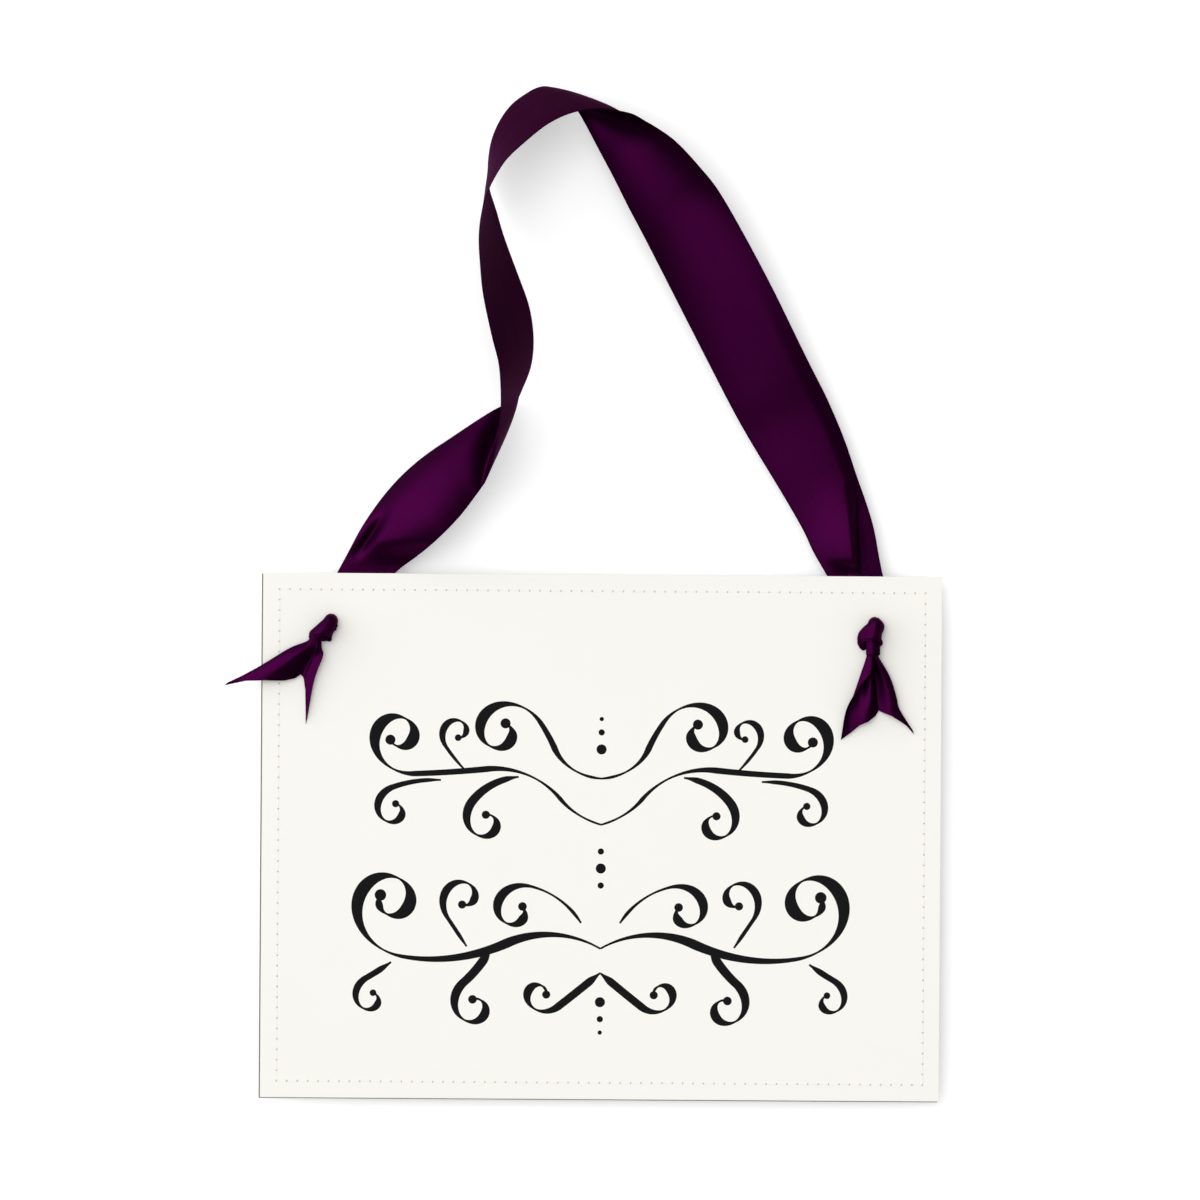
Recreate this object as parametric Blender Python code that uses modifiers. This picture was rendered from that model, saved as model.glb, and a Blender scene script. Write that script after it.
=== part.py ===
"""Party sign: two sheets of card sewn together, hung on one satin ribbon that is knotted through two holes.

The sign lies on its back with its ribbon laid out above it. All sizes are in metres.
+X is the reader's right, +Y points to the sign's top edge and +Z points out of its printed face.
The origin is the middle of the front card's bottom edge, halfway through the card's thickness.
"""

import math

import bmesh
import bpy
import numpy as np
from mathutils import Matrix, Vector

# Card
CARD_W = 0.2794
CARD_H = 0.2159
SHEET_T = 0.0005
SHEET_GAP = 0.0001

# Punched holes, by their centres
HOLE_D = 0.006
HOLE_FROM_SIDE = 0.028
HOLE_FROM_TOP = 0.0225

# Seam
SEAM_INSET = 0.0068
THREAD_D = 0.0003
THREAD_GAP = 0.00005

# Ribbon
RIBBON_W = 0.0381
RIBBON_T = 0.0004
WIDTH_OVER_EDGE = 0.025
LOOP_REACH = 0.2
BUNDLE_CLEARANCE = 0.0005
BACK_ROOM = 0.0018
HINGE_BEYOND_EDGE = 0.003
JOINT_GAP = 0.0009
PIECE_GAP = 0.0003

# Knots and tails
KNOT_W_LEFT = 0.0094
KNOT_W_RIGHT = 0.0110
KNOT_L = 0.0138
KNOT_H = 0.0072
KNOT_OFF_HOLE = 0.0008
COLLAR_W = 0.0066
COLLAR_H = 0.0054
COLLAR_REACH_LEFT = 0.0092
COLLAR_REACH_RIGHT = 0.0108
KNOT_TURN_LEFT = math.radians(-35)
KNOT_TURN_RIGHT = 0.0
CAGE_UNIT = 0.001
NOTCH_SHARE = 0.62

# Heights that follow from the sizes above
FRONT_Z = SHEET_T / 2
BACK_SHEET_Z = -(SHEET_T + SHEET_GAP)
BACK_Z = BACK_SHEET_Z - SHEET_T / 2
REST_Z = BACK_Z - BACK_ROOM
RUN_Z = BACK_Z - BACK_ROOM / 2

HOLE_X = CARD_W / 2 - HOLE_FROM_SIDE
HOLE_Y = CARD_H - HOLE_FROM_TOP
HINGE_Y = CARD_H + HINGE_BEYOND_EDGE

# Steps of each sheet's grid
LOOP_STEPS = 3
LOOP_ACROSS = 6
RUN_STEPS = 8
RUN_ACROSS = 16
TAIL_STEPS = 14
TAIL_ACROSS = 16

# The loop's route, from the right leg over the top to the left leg. Each station is a line across the
# ribbon: where its standing edge rests, across as a share of half the span between the holes and up
# from the card's top edge as a share of the loop's reach, the heading and the lean in degrees of the
# line from there to the ribbon's other edge, and the line's length in ribbon widths, over 1 where it
# crosses aslant.
LEG_SHARE = WIDTH_OVER_EDGE / RIBBON_W
LEG_START = (HINGE_BEYOND_EDGE + JOINT_GAP / 2) / LOOP_REACH
LOOP_ROUTE = [
    (0.807, LEG_START, 0, 0, LEG_SHARE),
    (0.774, 0.0515, 14, 9, 0.70),
    (0.745, 0.0875, 26, 12, 0.75),
    (0.686, 0.145, 27, 15, 0.83),
    (0.622, 0.204, 27, 15, 0.91),
    (0.536, 0.282, 27.5, 15, 0.98),
    (0.455, 0.362, 27.5, 17, 1.00),
    (0.298, 0.5295, 27, 18, 1.00),
    (0.149, 0.6895, 28.5, 23, 1.00),
    (0.086, 0.7545, 28, 31, 1.00),
    (0.026, 0.821, 26, 42, 1.00),
    (-0.026, 0.874, 18, 50, 1.00),
    (-0.072, 0.923, 1, 52, 1.02),
    (-0.117, 0.966, -14, 52, 1.065),
    (-0.176, 0.9975, -25, 50, 1.11),
    (-0.221, 1.0065, -28, 51, 1.10),
    (-0.260, 1.0015, -30, 54, 1.07),
    (-0.302, 0.987, -32, 58, 1.04),
    (-0.349, 0.967, -38, 61, 1.01),
    (-0.393, 0.932, -45, 65, 1.00),
    (-0.423, 0.89, -54, 71, 1.00),
    (-0.434, 0.8395, -57, 78, 1.00),
    (-0.430, 0.796, -68, 85, 1.00),
    (-0.403, 0.751, -144, 81, 1.00),
    (-0.377, 0.701, -155, 75, 1.00),
    (-0.344, 0.651, -157, 70, 1.00),
    (-0.310, 0.6015, -160, 65.5, 1.00),
    (-0.276, 0.5475, -166, 63, 1.00),
    (-0.261, 0.484, -171, 64, 1.00),
    (-0.270, 0.427, -178, 69.5, 1.00),
    (-0.303, 0.38, -180, 77, 1.00),
    (-0.309, 0.371, -146, 77.5, 1.02),
    (-0.313, 0.3665, -120, 70, 1.05),
    (-0.320, 0.363, -111, 62, 1.10),
    (-0.326, 0.36, -108, 55, 1.18),
    (-0.335, 0.356, -106, 48, 1.23),
    (-0.405, 0.3385, -96, 48.5, 1.20),
    (-0.478, 0.3115, -85, 49, 1.14),
    (-0.566, 0.278, -70, 47.5, 1.09),
    (-0.658, 0.243, -53, 43, 1.03),
    (-0.745, 0.2055, -37, 35, 1.00),
    (-0.825, 0.1565, -36, 31, 0.94),
    (-0.886, 0.1005, -28, 24, 0.80),
    (-0.964, LEG_START, 0, 0, LEG_SHARE),
]

# Each tail's coarse cage, in cage units from the collar's end: rows run down the ribbon, and each row
# goes across it as (right, up the card, out of the face).
TAIL_LEFT_CAGE = [
    [(-2.6, 1.9, 2.0), (-1.3, 0.9, 5.0), (0.0, 0.0, 2.5), (1.3, -0.9, 5.0), (2.6, -1.9, 2.0)],
    [(-10.7, -2.0, 2.6), (-7.0, -4.0, 4.2), (-3.5, -6.5, 1.2), (0.9, -6.6, 5.0), (3.1, -5.0, 2.4)],
    [(-21.8, -8.6, 2.2), (-15.5, -12.9, 2.6), (-8.5, -13.2, 1.1), (-3.5, -15.5, 5.5), (-2.5, -19.5, 2.4)],
    [(-38.0, -17.0, 1.1), (-28.0, -20.5, 2.0), (-14.0, -25.0, 1.2), (-3.6, -26.0, 3.0), (-4.0, -32.7, 1.1)],
]
TAIL_RIGHT_CAGE = [
    [(-3.2, 0.0, 2.0), (-1.6, 0.0, 5.0), (0.0, 0.0, 2.6), (1.6, 0.0, 5.0), (3.2, 0.0, 2.0)],
    [(-5.8, -10.5, 1.6), (-3.0, -10.5, 5.0), (0.2, -11.0, 2.0), (3.2, -10.5, 5.4), (6.8, -10.0, 2.0)],
    [(-11.0, -22.0, 1.2), (-3.5, -24.0, 4.0), (3.2, -24.0, 1.8), (7.5, -22.0, 4.5), (11.4, -20.0, 1.6)],
    [(-13.1, -33.9, 1.1), (-5.0, -35.0, 2.5), (4.0, -35.0, 1.5), (13.0, -29.0, 3.2), (17.5, -31.4, 1.1)],
]

PLUM = (0.045, 0.002, 0.035, 1.0)
CARD_WHITE = (0.91, 0.90, 0.86, 1.0)
THREAD_WHITE = (0.86, 0.85, 0.80, 1.0)


def clear_scene():
    """Removes whatever the open file holds."""
    for obj in list(bpy.data.objects):
        bpy.data.objects.remove(obj, do_unlink=True)


def new_collection(name):
    """A collection in the scene."""
    collection = bpy.data.collections.new(name)
    bpy.context.scene.collection.children.link(collection)
    return collection


def material(name, colour, roughness):
    """A plain Principled material."""
    mat = bpy.data.materials.new(name)
    mat.use_nodes = True
    shader = mat.node_tree.nodes["Principled BSDF"]
    shader.inputs["Base Color"].default_value = colour
    shader.inputs["Roughness"].default_value = roughness
    shader.inputs["Metallic"].default_value = 0.0
    mat.diffuse_color = colour
    return mat


def add_object(name, mesh, collection, mat=None):
    """Links a mesh into a collection as a named object."""
    obj = bpy.data.objects.new(name, mesh)
    collection.objects.link(obj)
    if mat is not None:
        mesh.materials.append(mat)
    return obj


def mesh_from(bm, name):
    """Turns a bmesh into a mesh and frees it."""
    mesh = bpy.data.meshes.new(name)
    bm.to_mesh(mesh)
    bm.free()
    return mesh


def cutter(name, bm, collection):
    """A helper solid that only shapes other pieces."""
    obj = add_object(name, mesh_from(bm, name), collection)
    obj.hide_render = True
    obj.display_type = "WIRE"
    return obj


def boolean(obj, tool, operation):
    """Adds an exact Boolean modifier."""
    modifier = obj.modifiers.new(operation.title() + " " + tool.name, "BOOLEAN")
    modifier.operation = operation
    modifier.object = tool
    modifier.solver = "EXACT"


def spline(points, steps):
    """Points along a smooth curve through the given rows of numbers, steps to each stretch."""
    rows = np.array(points, dtype=float)
    padded = np.vstack([2 * rows[0] - rows[1], rows, 2 * rows[-1] - rows[-2]])
    out = []
    for i in range(len(rows) - 1):
        p0, p1, p2, p3 = padded[i : i + 4]
        for k in range(steps):
            t = k / steps
            out.append(
                0.5 * (2 * p1 + (p2 - p0) * t + (2 * p0 - 5 * p1 + 4 * p2 - p3) * t * t)
                + 0.5 * (3 * p1 - p0 - 3 * p2 + p3) * t * t * t
            )
    out.append(rows[-1])
    return np.array(out)


def sheet(name, place, across, along, collection, mat):
    """A thin cloth sheet. place(u, v) gives the middle of its thickness, u across and v along, both 0 to 1."""
    bm = bmesh.new()
    bmesh.ops.create_grid(bm, x_segments=across, y_segments=along, size=0.5)
    for vert in bm.verts:
        vert.co = place(vert.co.x + 0.5, vert.co.y + 0.5)
    for face in bm.faces:
        face.smooth = True
    obj = add_object(name, mesh_from(bm, name), collection, mat)
    solid = obj.modifiers.new("Thickness", "SOLIDIFY")
    solid.thickness = RIBBON_T
    solid.offset = 0.0
    return obj


def card(name, z_middle, holes, collection, mat):
    """One rectangular sheet of card with its punched holes."""
    bm = bmesh.new()
    bmesh.ops.create_cube(bm, size=1.0)
    bmesh.ops.scale(bm, vec=(CARD_W, CARD_H, SHEET_T), verts=bm.verts)
    bmesh.ops.translate(bm, vec=(0, CARD_H / 2, z_middle), verts=bm.verts)
    obj = add_object(name, mesh_from(bm, name), collection, mat)
    for hole in holes:
        boolean(obj, hole, "DIFFERENCE")
    return obj


def hole_punch(name, side, collection):
    """The round punch that goes through both sheets on one side."""
    bm = bmesh.new()
    depth = 4 * (SHEET_T + SHEET_GAP) + SHEET_T
    bmesh.ops.create_cone(
        bm, cap_ends=True, segments=32, radius1=HOLE_D / 2, radius2=HOLE_D / 2, depth=depth,
        matrix=Matrix.Translation((side * HOLE_X, HOLE_Y, BACK_SHEET_Z / 2)),
    )
    return cutter(name, bm, collection)


def seam_thread(name, z_middle, collection, mat):
    """One thread of the seam, as a closed rectangle of round section."""
    half_w = CARD_W / 2 - SEAM_INSET
    low, high = SEAM_INSET, CARD_H - SEAM_INSET
    curve = bpy.data.curves.new(name, "CURVE")
    curve.dimensions = "3D"
    curve.bevel_depth = THREAD_D / 2
    curve.bevel_resolution = 2
    line = curve.splines.new("POLY")
    corners = [(-half_w, low), (half_w, low), (half_w, high), (-half_w, high)]
    line.points.add(len(corners) - 1)
    for point, (x, y) in zip(line.points, corners):
        point.co = (x, y, z_middle, 1)
    line.use_cyclic_u = True
    curve.materials.append(mat)
    obj = bpy.data.objects.new(name, curve)
    collection.objects.link(obj)
    return obj


def loop_edges():
    """The two edges of the hanging loop, sampled along its route."""
    feet, tops = [], []
    for across, up, heading, lean, breadth in LOOP_ROUTE:
        foot = Vector((across * HOLE_X, CARD_H + up * LOOP_REACH, REST_Z + RIBBON_T / 2))
        flat = math.cos(math.radians(lean))
        line = Vector((
            flat * math.cos(math.radians(heading)),
            flat * math.sin(math.radians(heading)),
            math.sin(math.radians(lean)),
        ))
        feet.append(foot)
        tops.append(foot + line * (breadth * RIBBON_W))
    for end in (0, -1):
        feet[end].z = tops[end].z = RUN_Z
    return spline(feet, LOOP_STEPS), spline(tops, LOOP_STEPS)


def hanging_loop(collection, mat):
    """The ribbon's loop, which stands on one edge over its top and lies down to its two legs."""
    feet, tops = loop_edges()
    rows = len(feet) - 1

    def place(u, v):
        row = round(v * rows)
        return Vector(feet[row] * (1 - u) + tops[row] * u)

    return sheet("ribbon_loop", place, LOOP_ACROSS, rows, collection, mat)


def leg_middle(end):
    """Where the middle of a leg crosses the card's top edge line, end 0 for the right leg and -1 for the left."""
    feet, tops = loop_edges()
    return (feet[end] + tops[end])[0] / 2


def back_run(name, side, end, collection, mat):
    """The stretch behind the card: bunched under its hole, fanned out where it passes the top edge."""
    bundle = HOLE_D - 2 * BUNDLE_CLEARANCE
    top_x = leg_middle(end)
    start_y = HOLE_Y - bundle / 2
    stop_y = HINGE_Y - JOINT_GAP / 2
    pleats = 2
    wave = (BACK_ROOM - RIBBON_T) / 2 - PIECE_GAP

    def place(u, v):
        spread = v * v * (3 - 2 * v)
        width = bundle + (WIDTH_OVER_EDGE - bundle) * spread
        middle = side * HOLE_X + (top_x - side * HOLE_X) * v
        height = wave * (1 - spread) * math.sin(2 * math.pi * pleats * u)
        return Vector((middle + (u - 0.5) * width, start_y + (stop_y - start_y) * v, RUN_Z + height))

    return sheet(name, place, RUN_ACROSS, RUN_STEPS, collection, mat)


def knot_pose(side):
    """A knot's width, how far its collar reaches from its hole, and the matrix that sets it on the hole."""
    if side < 0:
        width, reach, turn = KNOT_W_LEFT, COLLAR_REACH_LEFT, KNOT_TURN_LEFT
    else:
        width, reach, turn = KNOT_W_RIGHT, COLLAR_REACH_RIGHT, KNOT_TURN_RIGHT
    pose = Matrix.Translation((side * HOLE_X, HOLE_Y, FRONT_Z)) @ Matrix.Rotation(turn, 4, "Z")
    return width, reach, pose


def collar_end(side):
    """The point on the printed face under the end of a knot's collar, where its tail begins."""
    _, reach, pose = knot_pose(side)
    return pose @ Vector((-KNOT_OFF_HOLE, -reach, 0))


def ball(centre, size, segments, rings):
    """A round form of three given diameters, as a bmesh."""
    bm = bmesh.new()
    bmesh.ops.create_uvsphere(bm, u_segments=segments, v_segments=rings, radius=0.5)
    bmesh.ops.scale(bm, vec=size, verts=bm.verts)
    bmesh.ops.translate(bm, vec=centre, verts=bm.verts)
    return bm


def rod(width, height, length, segments):
    """A rod of oval section along Z, about the origin, as a bmesh."""
    bm = bmesh.new()
    bmesh.ops.create_cone(bm, cap_ends=True, segments=segments, radius1=0.5, radius2=0.5, depth=1.0)
    bmesh.ops.scale(bm, vec=(width, height, length), verts=bm.verts)
    return bm


def knot(name, side, collection, helpers, mat):
    """One knot: a bunched neck through the hole, the turns drawn tight over it and the collar below them."""
    width, reach, pose = knot_pose(side)
    bundle = HOLE_D - 2 * BUNDLE_CLEARANCE
    lift = PIECE_GAP + THREAD_D
    turns = ball(
        (0.0, KNOT_L * 0.12, lift + KNOT_H / 2), (width * 0.68, KNOT_L * 0.70, KNOT_H), 20, 12
    )
    bulge = ball(
        (-width * 0.37, -KNOT_L * 0.20, lift + KNOT_H * 0.40),
        (width * 0.58, KNOT_L * 0.70, KNOT_H * 0.78), 16, 10,
    )
    bump = ball(
        (width * 0.22, -KNOT_L * 0.30, lift + KNOT_H * 0.36),
        (width * 0.30, KNOT_L * 0.26, KNOT_H * 0.5), 12, 8,
    )
    neck_low = BACK_Z - FRONT_Z - SHEET_GAP
    neck_high = lift + KNOT_H / 2
    neck = rod(bundle, bundle, neck_high - neck_low, 20)
    bmesh.ops.translate(neck, vec=(0, 0, (neck_high + neck_low) / 2), verts=neck.verts)
    collar_start = KNOT_L * 0.1
    collar_stop = reach - PIECE_GAP
    collar = rod(COLLAR_W, COLLAR_H, collar_stop - collar_start, 20)
    bmesh.ops.rotate(collar, cent=(0, 0, 0), matrix=Matrix.Rotation(math.radians(90), 3, "X"), verts=collar.verts)
    bmesh.ops.translate(
        collar, vec=(-KNOT_OFF_HOLE, -(collar_stop + collar_start) / 2, lift + COLLAR_H / 2), verts=collar.verts
    )
    obj = add_object(name, mesh_from(turns, name), collection, mat)
    obj.matrix_world = pose
    for label, form in (("bulge", bulge), ("bump", bump), ("neck", neck), ("collar", collar)):
        tool = cutter(name + "_" + label, form, helpers)
        tool.matrix_world = pose
        boolean(obj, tool, "UNION")
    return obj


def tail(name, side, cage, collection, mat):
    """One free end, pleated at the collar and spread to its swallowtail cut."""
    start = collar_end(side)
    rows = spline([[value for point in row for value in point] for row in cage], 12)
    rows = rows.reshape(len(rows), len(cage[0]), 3)
    columns = [spline(row, 8) for row in rows]

    def place(u, v):
        stop = NOTCH_SHARE + (1 - NOTCH_SHARE) * abs(2 * u - 1)
        row = v * stop * (len(columns) - 1)
        low = min(int(row), len(columns) - 2)
        column = u * (len(columns[0]) - 1)
        left = min(int(column), len(columns[0]) - 2)
        point = Vector((0, 0, 0))
        for i, weight in ((low, 1 - (row - low)), (low + 1, row - low)):
            for j, share in ((left, 1 - (column - left)), (left + 1, column - left)):
                point += Vector(columns[i][j]) * weight * share
        return start + point * CAGE_UNIT

    return sheet(name, place, TAIL_ACROSS, TAIL_STEPS, collection, mat)


def main():
    """Builds every piece of the sign."""
    clear_scene()
    parts = new_collection("party_sign")
    helpers = new_collection("helpers")
    white = material("card_stock", CARD_WHITE, 0.7)
    cotton = material("sewing_thread", THREAD_WHITE, 0.6)
    satin = material("plum_satin", PLUM, 0.35)

    holes = [hole_punch("punch_left", -1, helpers), hole_punch("punch_right", 1, helpers)]
    card("front_card", 0.0, holes, parts, white)
    card("back_card", BACK_SHEET_Z, holes, parts, white)
    seam_thread("needle_thread", FRONT_Z + THREAD_GAP + THREAD_D / 2, parts, cotton)
    seam_thread("bobbin_thread", BACK_Z - THREAD_GAP - THREAD_D / 2, parts, cotton)

    hanging_loop(parts, satin)
    back_run("ribbon_back_left", -1, -1, parts, satin)
    back_run("ribbon_back_right", 1, 0, parts, satin)
    knot("ribbon_knot_left", -1, parts, helpers, satin)
    knot("ribbon_knot_right", 1, parts, helpers, satin)
    tail("ribbon_tail_left", -1, TAIL_LEFT_CAGE, parts, satin)
    tail("ribbon_tail_right", 1, TAIL_RIGHT_CAGE, parts, satin)


main()
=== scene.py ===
"""The look of a hanging party sign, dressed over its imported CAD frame.

Two sheets of off-white card are sewn together round the edge and hang on one plum satin ribbon. The
sign lies on its back: +X is the reader's right, +Y the sign's top and +Z out of its printed face.
Sizes are in metres unless a name or a docstring says millimetres.
"""

from __future__ import annotations

import logging
import math
from dataclasses import dataclass, field
from enum import Enum
from typing import Callable, Iterable, Sequence

import bpy
import numpy as np
from mathutils import Matrix, Vector

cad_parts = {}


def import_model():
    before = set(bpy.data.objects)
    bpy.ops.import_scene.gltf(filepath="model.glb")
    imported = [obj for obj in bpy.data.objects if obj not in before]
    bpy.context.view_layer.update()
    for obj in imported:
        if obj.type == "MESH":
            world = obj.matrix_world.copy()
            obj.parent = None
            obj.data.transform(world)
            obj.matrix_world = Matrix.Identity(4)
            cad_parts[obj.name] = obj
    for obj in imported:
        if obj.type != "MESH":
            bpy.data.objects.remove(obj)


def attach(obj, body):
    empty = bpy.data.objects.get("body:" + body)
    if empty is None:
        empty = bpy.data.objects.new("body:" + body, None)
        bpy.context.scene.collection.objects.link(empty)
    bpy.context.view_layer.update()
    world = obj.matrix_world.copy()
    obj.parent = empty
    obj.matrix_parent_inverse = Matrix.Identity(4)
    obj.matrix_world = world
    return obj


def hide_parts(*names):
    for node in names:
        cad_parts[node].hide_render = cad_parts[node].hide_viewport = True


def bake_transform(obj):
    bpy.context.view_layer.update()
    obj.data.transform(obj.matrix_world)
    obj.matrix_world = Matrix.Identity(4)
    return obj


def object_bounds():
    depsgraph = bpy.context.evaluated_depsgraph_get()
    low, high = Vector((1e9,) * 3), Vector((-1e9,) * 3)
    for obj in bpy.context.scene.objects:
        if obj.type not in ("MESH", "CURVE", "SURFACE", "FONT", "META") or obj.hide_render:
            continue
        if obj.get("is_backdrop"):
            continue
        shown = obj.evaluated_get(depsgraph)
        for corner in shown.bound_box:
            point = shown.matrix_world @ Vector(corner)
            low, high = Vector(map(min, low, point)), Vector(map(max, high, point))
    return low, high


Colour = tuple[float, float, float, float]
Point = tuple[float, float, float]

LOG = logging.getLogger("party_sign")
MM = 0.001
WHITE: Colour = (1.0, 1.0, 1.0, 1.0)

# Edges that turn by more than these angles, in degrees, stay sharp in the shading.
CARD_CREASE = 40.0
CREASE = 60.0
KNOT_CREASE = 70.0

# Sockets of the Mix node: the share, its two plain values, its two colours and the mixed colour.
SHARE, PLAIN_A, PLAIN_B, COLOUR_A, COLOUR_B, COLOUR_OUT = 0, 2, 3, 6, 7, 2


class Slot(str, Enum):
    """Names of the material slots."""

    CARD = "card_stock"
    THREAD = "sewing_thread"
    SATIN = "plum_satin"


class Side(Enum):
    """The two sides of the sign, by their sign on X."""

    LEFT = -1
    RIGHT = 1

    @property
    def word(self) -> str:
        """The side's name in lower case."""
        return self.name.lower()


class Held(str, Enum):
    """How a sheet of cloth is held."""

    HUNG = "hung"
    GATHERED = "gathered"


@dataclass(frozen=True)
class Sizes:
    """The sign's driving sizes, the same as the CAD frame's."""

    card_w: float = 0.2794
    card_h: float = 0.2159
    sheet_t: float = 0.0005
    sheet_gap: float = 0.0001
    hole_d: float = 0.006
    hole_x: float = 0.1117
    hole_y: float = 0.1934
    seam_inset: float = 0.0068
    stitch: float = 0.0043
    ribbon_w: float = 0.0381
    ribbon_t: float = 0.00028
    back_room: float = 0.0018
    hinge_y: float = 0.2189
    loop_reach: float = 0.2

    @property
    def front_z(self) -> float:
        """Height of the printed face."""
        return self.sheet_t / 2

    @property
    def back_sheet_z(self) -> float:
        """Mid height of the back card."""
        return -(self.sheet_t + self.sheet_gap)

    @property
    def back_z(self) -> float:
        """Height of the back card's rear face."""
        return self.back_sheet_z - self.sheet_t / 2

    @property
    def rest_z(self) -> float:
        """Height of the surface that the sign lies on."""
        return self.back_z - self.back_room

    @property
    def run_z(self) -> float:
        """Mid height of the ribbon behind the card."""
        return self.back_z - self.back_room / 2


SIZES = Sizes()


# ---------------------------------------------------------------- small tools


def deselect() -> None:
    """Leaves nothing selected."""
    bpy.ops.object.select_all(action="DESELECT")


def take(obj: bpy.types.Object) -> bpy.types.Object:
    """Selects one object alone and makes it active.

    Args:
        obj: the object to select.

    Returns:
        The same object.
    """
    deselect()
    obj.select_set(True)
    bpy.context.view_layer.objects.active = obj
    return obj


def added(operator: Callable[..., object], **settings: object) -> bpy.types.Object:
    """Adds an object with one of Blender's operators.

    Args:
        operator: the operator that adds it.
        settings: the operator's own settings.

    Returns:
        The new object, which is then the only one selected.
    """
    deselect()
    operator(**settings)
    return bpy.context.active_object


def apply_all(obj: bpy.types.Object) -> None:
    """Applies every modifier of an object, then its transform.

    Args:
        obj: the object.
    """
    take(obj)
    for modifier in list(obj.modifiers):
        bpy.ops.object.modifier_apply(modifier=modifier.name)
    bpy.ops.object.transform_apply(location=True, rotation=True, scale=True)


def smooth_by_angle(obj: bpy.types.Object, degrees: float) -> None:
    """Shades an object smooth, with sharp edges above an angle in degrees."""
    take(obj)
    bpy.ops.object.shade_smooth_by_angle(angle=math.radians(degrees))


def join(objects: Sequence[bpy.types.Object], name: str) -> bpy.types.Object:
    """Joins objects into the first one.

    Args:
        objects: the objects to join.
        name: the joined object's name.

    Returns:
        The joined object.
    """
    deselect()
    for obj in objects:
        obj.select_set(True)
    bpy.context.view_layer.objects.active = objects[0]
    bpy.ops.object.join()
    joined = bpy.context.view_layer.objects.active
    joined.name = joined.data.name = name
    return joined


def copy_to(obj: bpy.types.Object, matrix: Matrix) -> bpy.types.Object:
    """Copies an object with its own mesh to a new place.

    Args:
        obj: the object to copy.
        matrix: the copy's world matrix.

    Returns:
        The copy.
    """
    twin = obj.copy()
    twin.data = obj.data.copy()
    twin.matrix_world = matrix
    bpy.context.scene.collection.objects.link(twin)
    return twin


def bead(
    places: Sequence[Point], widths: Iterable[float], radius: float, roundness: int, twist: str
) -> bpy.types.Object:
    """Runs a round bead along a line of points.

    Args:
        places: the line's points, in metres.
        widths: the bead's half width at each point, as a multiple of its radius.
        radius: the bead's radius in metres.
        roundness: how finely its section is rounded.
        twist: how its section is kept from turning.

    Returns:
        The bead as a mesh with closed ends.
    """
    obj = added(bpy.ops.curve.primitive_bezier_curve_add)
    curve = obj.data
    curve.splines.clear()
    line = curve.splines.new("POLY")
    line.points.add(len(places) - 1)
    for point, place, width in zip(line.points, places, widths):
        point.co = (*place, 1.0)
        point.radius = width
    curve.twist_mode = twist
    curve.bevel_depth = radius
    curve.bevel_resolution = roundness
    curve.use_fill_caps = True
    take(obj)
    bpy.ops.object.convert(target="MESH")
    return bpy.context.active_object


def dress(obj: bpy.types.Object, material: bpy.types.Material) -> None:
    """Gives an object one material."""
    obj.data.materials.clear()
    obj.data.materials.append(material)


def report(obj: bpy.types.Object) -> None:
    """Logs a finished piece with its size in millimetres."""
    size = [round(value / MM, 1) for value in obj.dimensions]
    LOG.info("%s: %d faces, %s mm", obj.name, len(obj.data.polygons), size)


def spline(points: Sequence[Sequence[float]], steps: int) -> np.ndarray:
    """Runs a smooth curve through rows of numbers.

    Args:
        points: the rows to pass through.
        steps: how many steps each stretch takes.

    Returns:
        The rows along the curve, with the last given row at its end.
    """
    rows = np.array(points, dtype=float)
    padded = np.vstack([2 * rows[0] - rows[1], rows, 2 * rows[-1] - rows[-2]])
    t = np.arange(steps)[:, None] / steps
    out = []
    for i in range(len(rows) - 1):
        p0, p1, p2, p3 = padded[i : i + 4]
        out.append(
            0.5 * (2 * p1 + (p2 - p0) * t + (2 * p0 - 5 * p1 + 4 * p2 - p3) * t**2)
            + 0.5 * (3 * p1 - p0 - 3 * p2 + p3) * t**3
        )
    return np.vstack([*out, rows[-1:]])


def smoothstep(value: np.ndarray | float, low: float, high: float) -> np.ndarray | float:
    """Rises smoothly from 0 at low to 1 at high."""
    t = np.clip((value - low) / (high - low), 0.0, 1.0)
    return t * t * (3 - 2 * t)


def grid_object(name: str, points: np.ndarray, uv: np.ndarray) -> bpy.types.Object:
    """Makes a grid whose points lie where they are told.

    Args:
        name: the object's name.
        points: rows by columns by 3, in metres.
        uv: rows by columns by 2, in metres of cloth.

    Returns:
        The grid as an open surface, with its cloth coordinates as its UV map.
    """
    rows, columns = points.shape[:2]
    obj = added(
        bpy.ops.mesh.primitive_grid_add,
        x_subdivisions=columns - 1, y_subdivisions=rows - 1, size=1.0,
    )
    obj.name = obj.data.name = name
    mesh = obj.data
    mesh.vertices.foreach_set("co", points.reshape(-1, 3).astype(np.float32).ravel())
    corner = np.empty(len(mesh.loops), dtype=np.int64)
    mesh.loops.foreach_get("vertex_index", corner)
    mesh.uv_layers[0].data.foreach_set("uv", uv.reshape(-1, 2)[corner].astype(np.float32).ravel())
    mesh.update()
    return obj


def cloth_coordinates(points: np.ndarray, width: float) -> np.ndarray:
    """Cloth coordinates of a sheet's grid.

    Args:
        points: rows by columns by 3, in metres.
        width: the cloth's flat width.

    Returns:
        Rows by columns by 2: metres across the cloth and metres along it.
    """
    rows, columns = points.shape[:2]
    middle = points[:, columns // 2]
    steps = np.linalg.norm(np.diff(middle, axis=0), axis=1)
    along = np.concatenate([[0.0], np.cumsum(steps)])
    across = np.linspace(0.0, width, columns)
    return np.stack(np.broadcast_arrays(across[None, :], along[:, None]), axis=-1)


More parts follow.
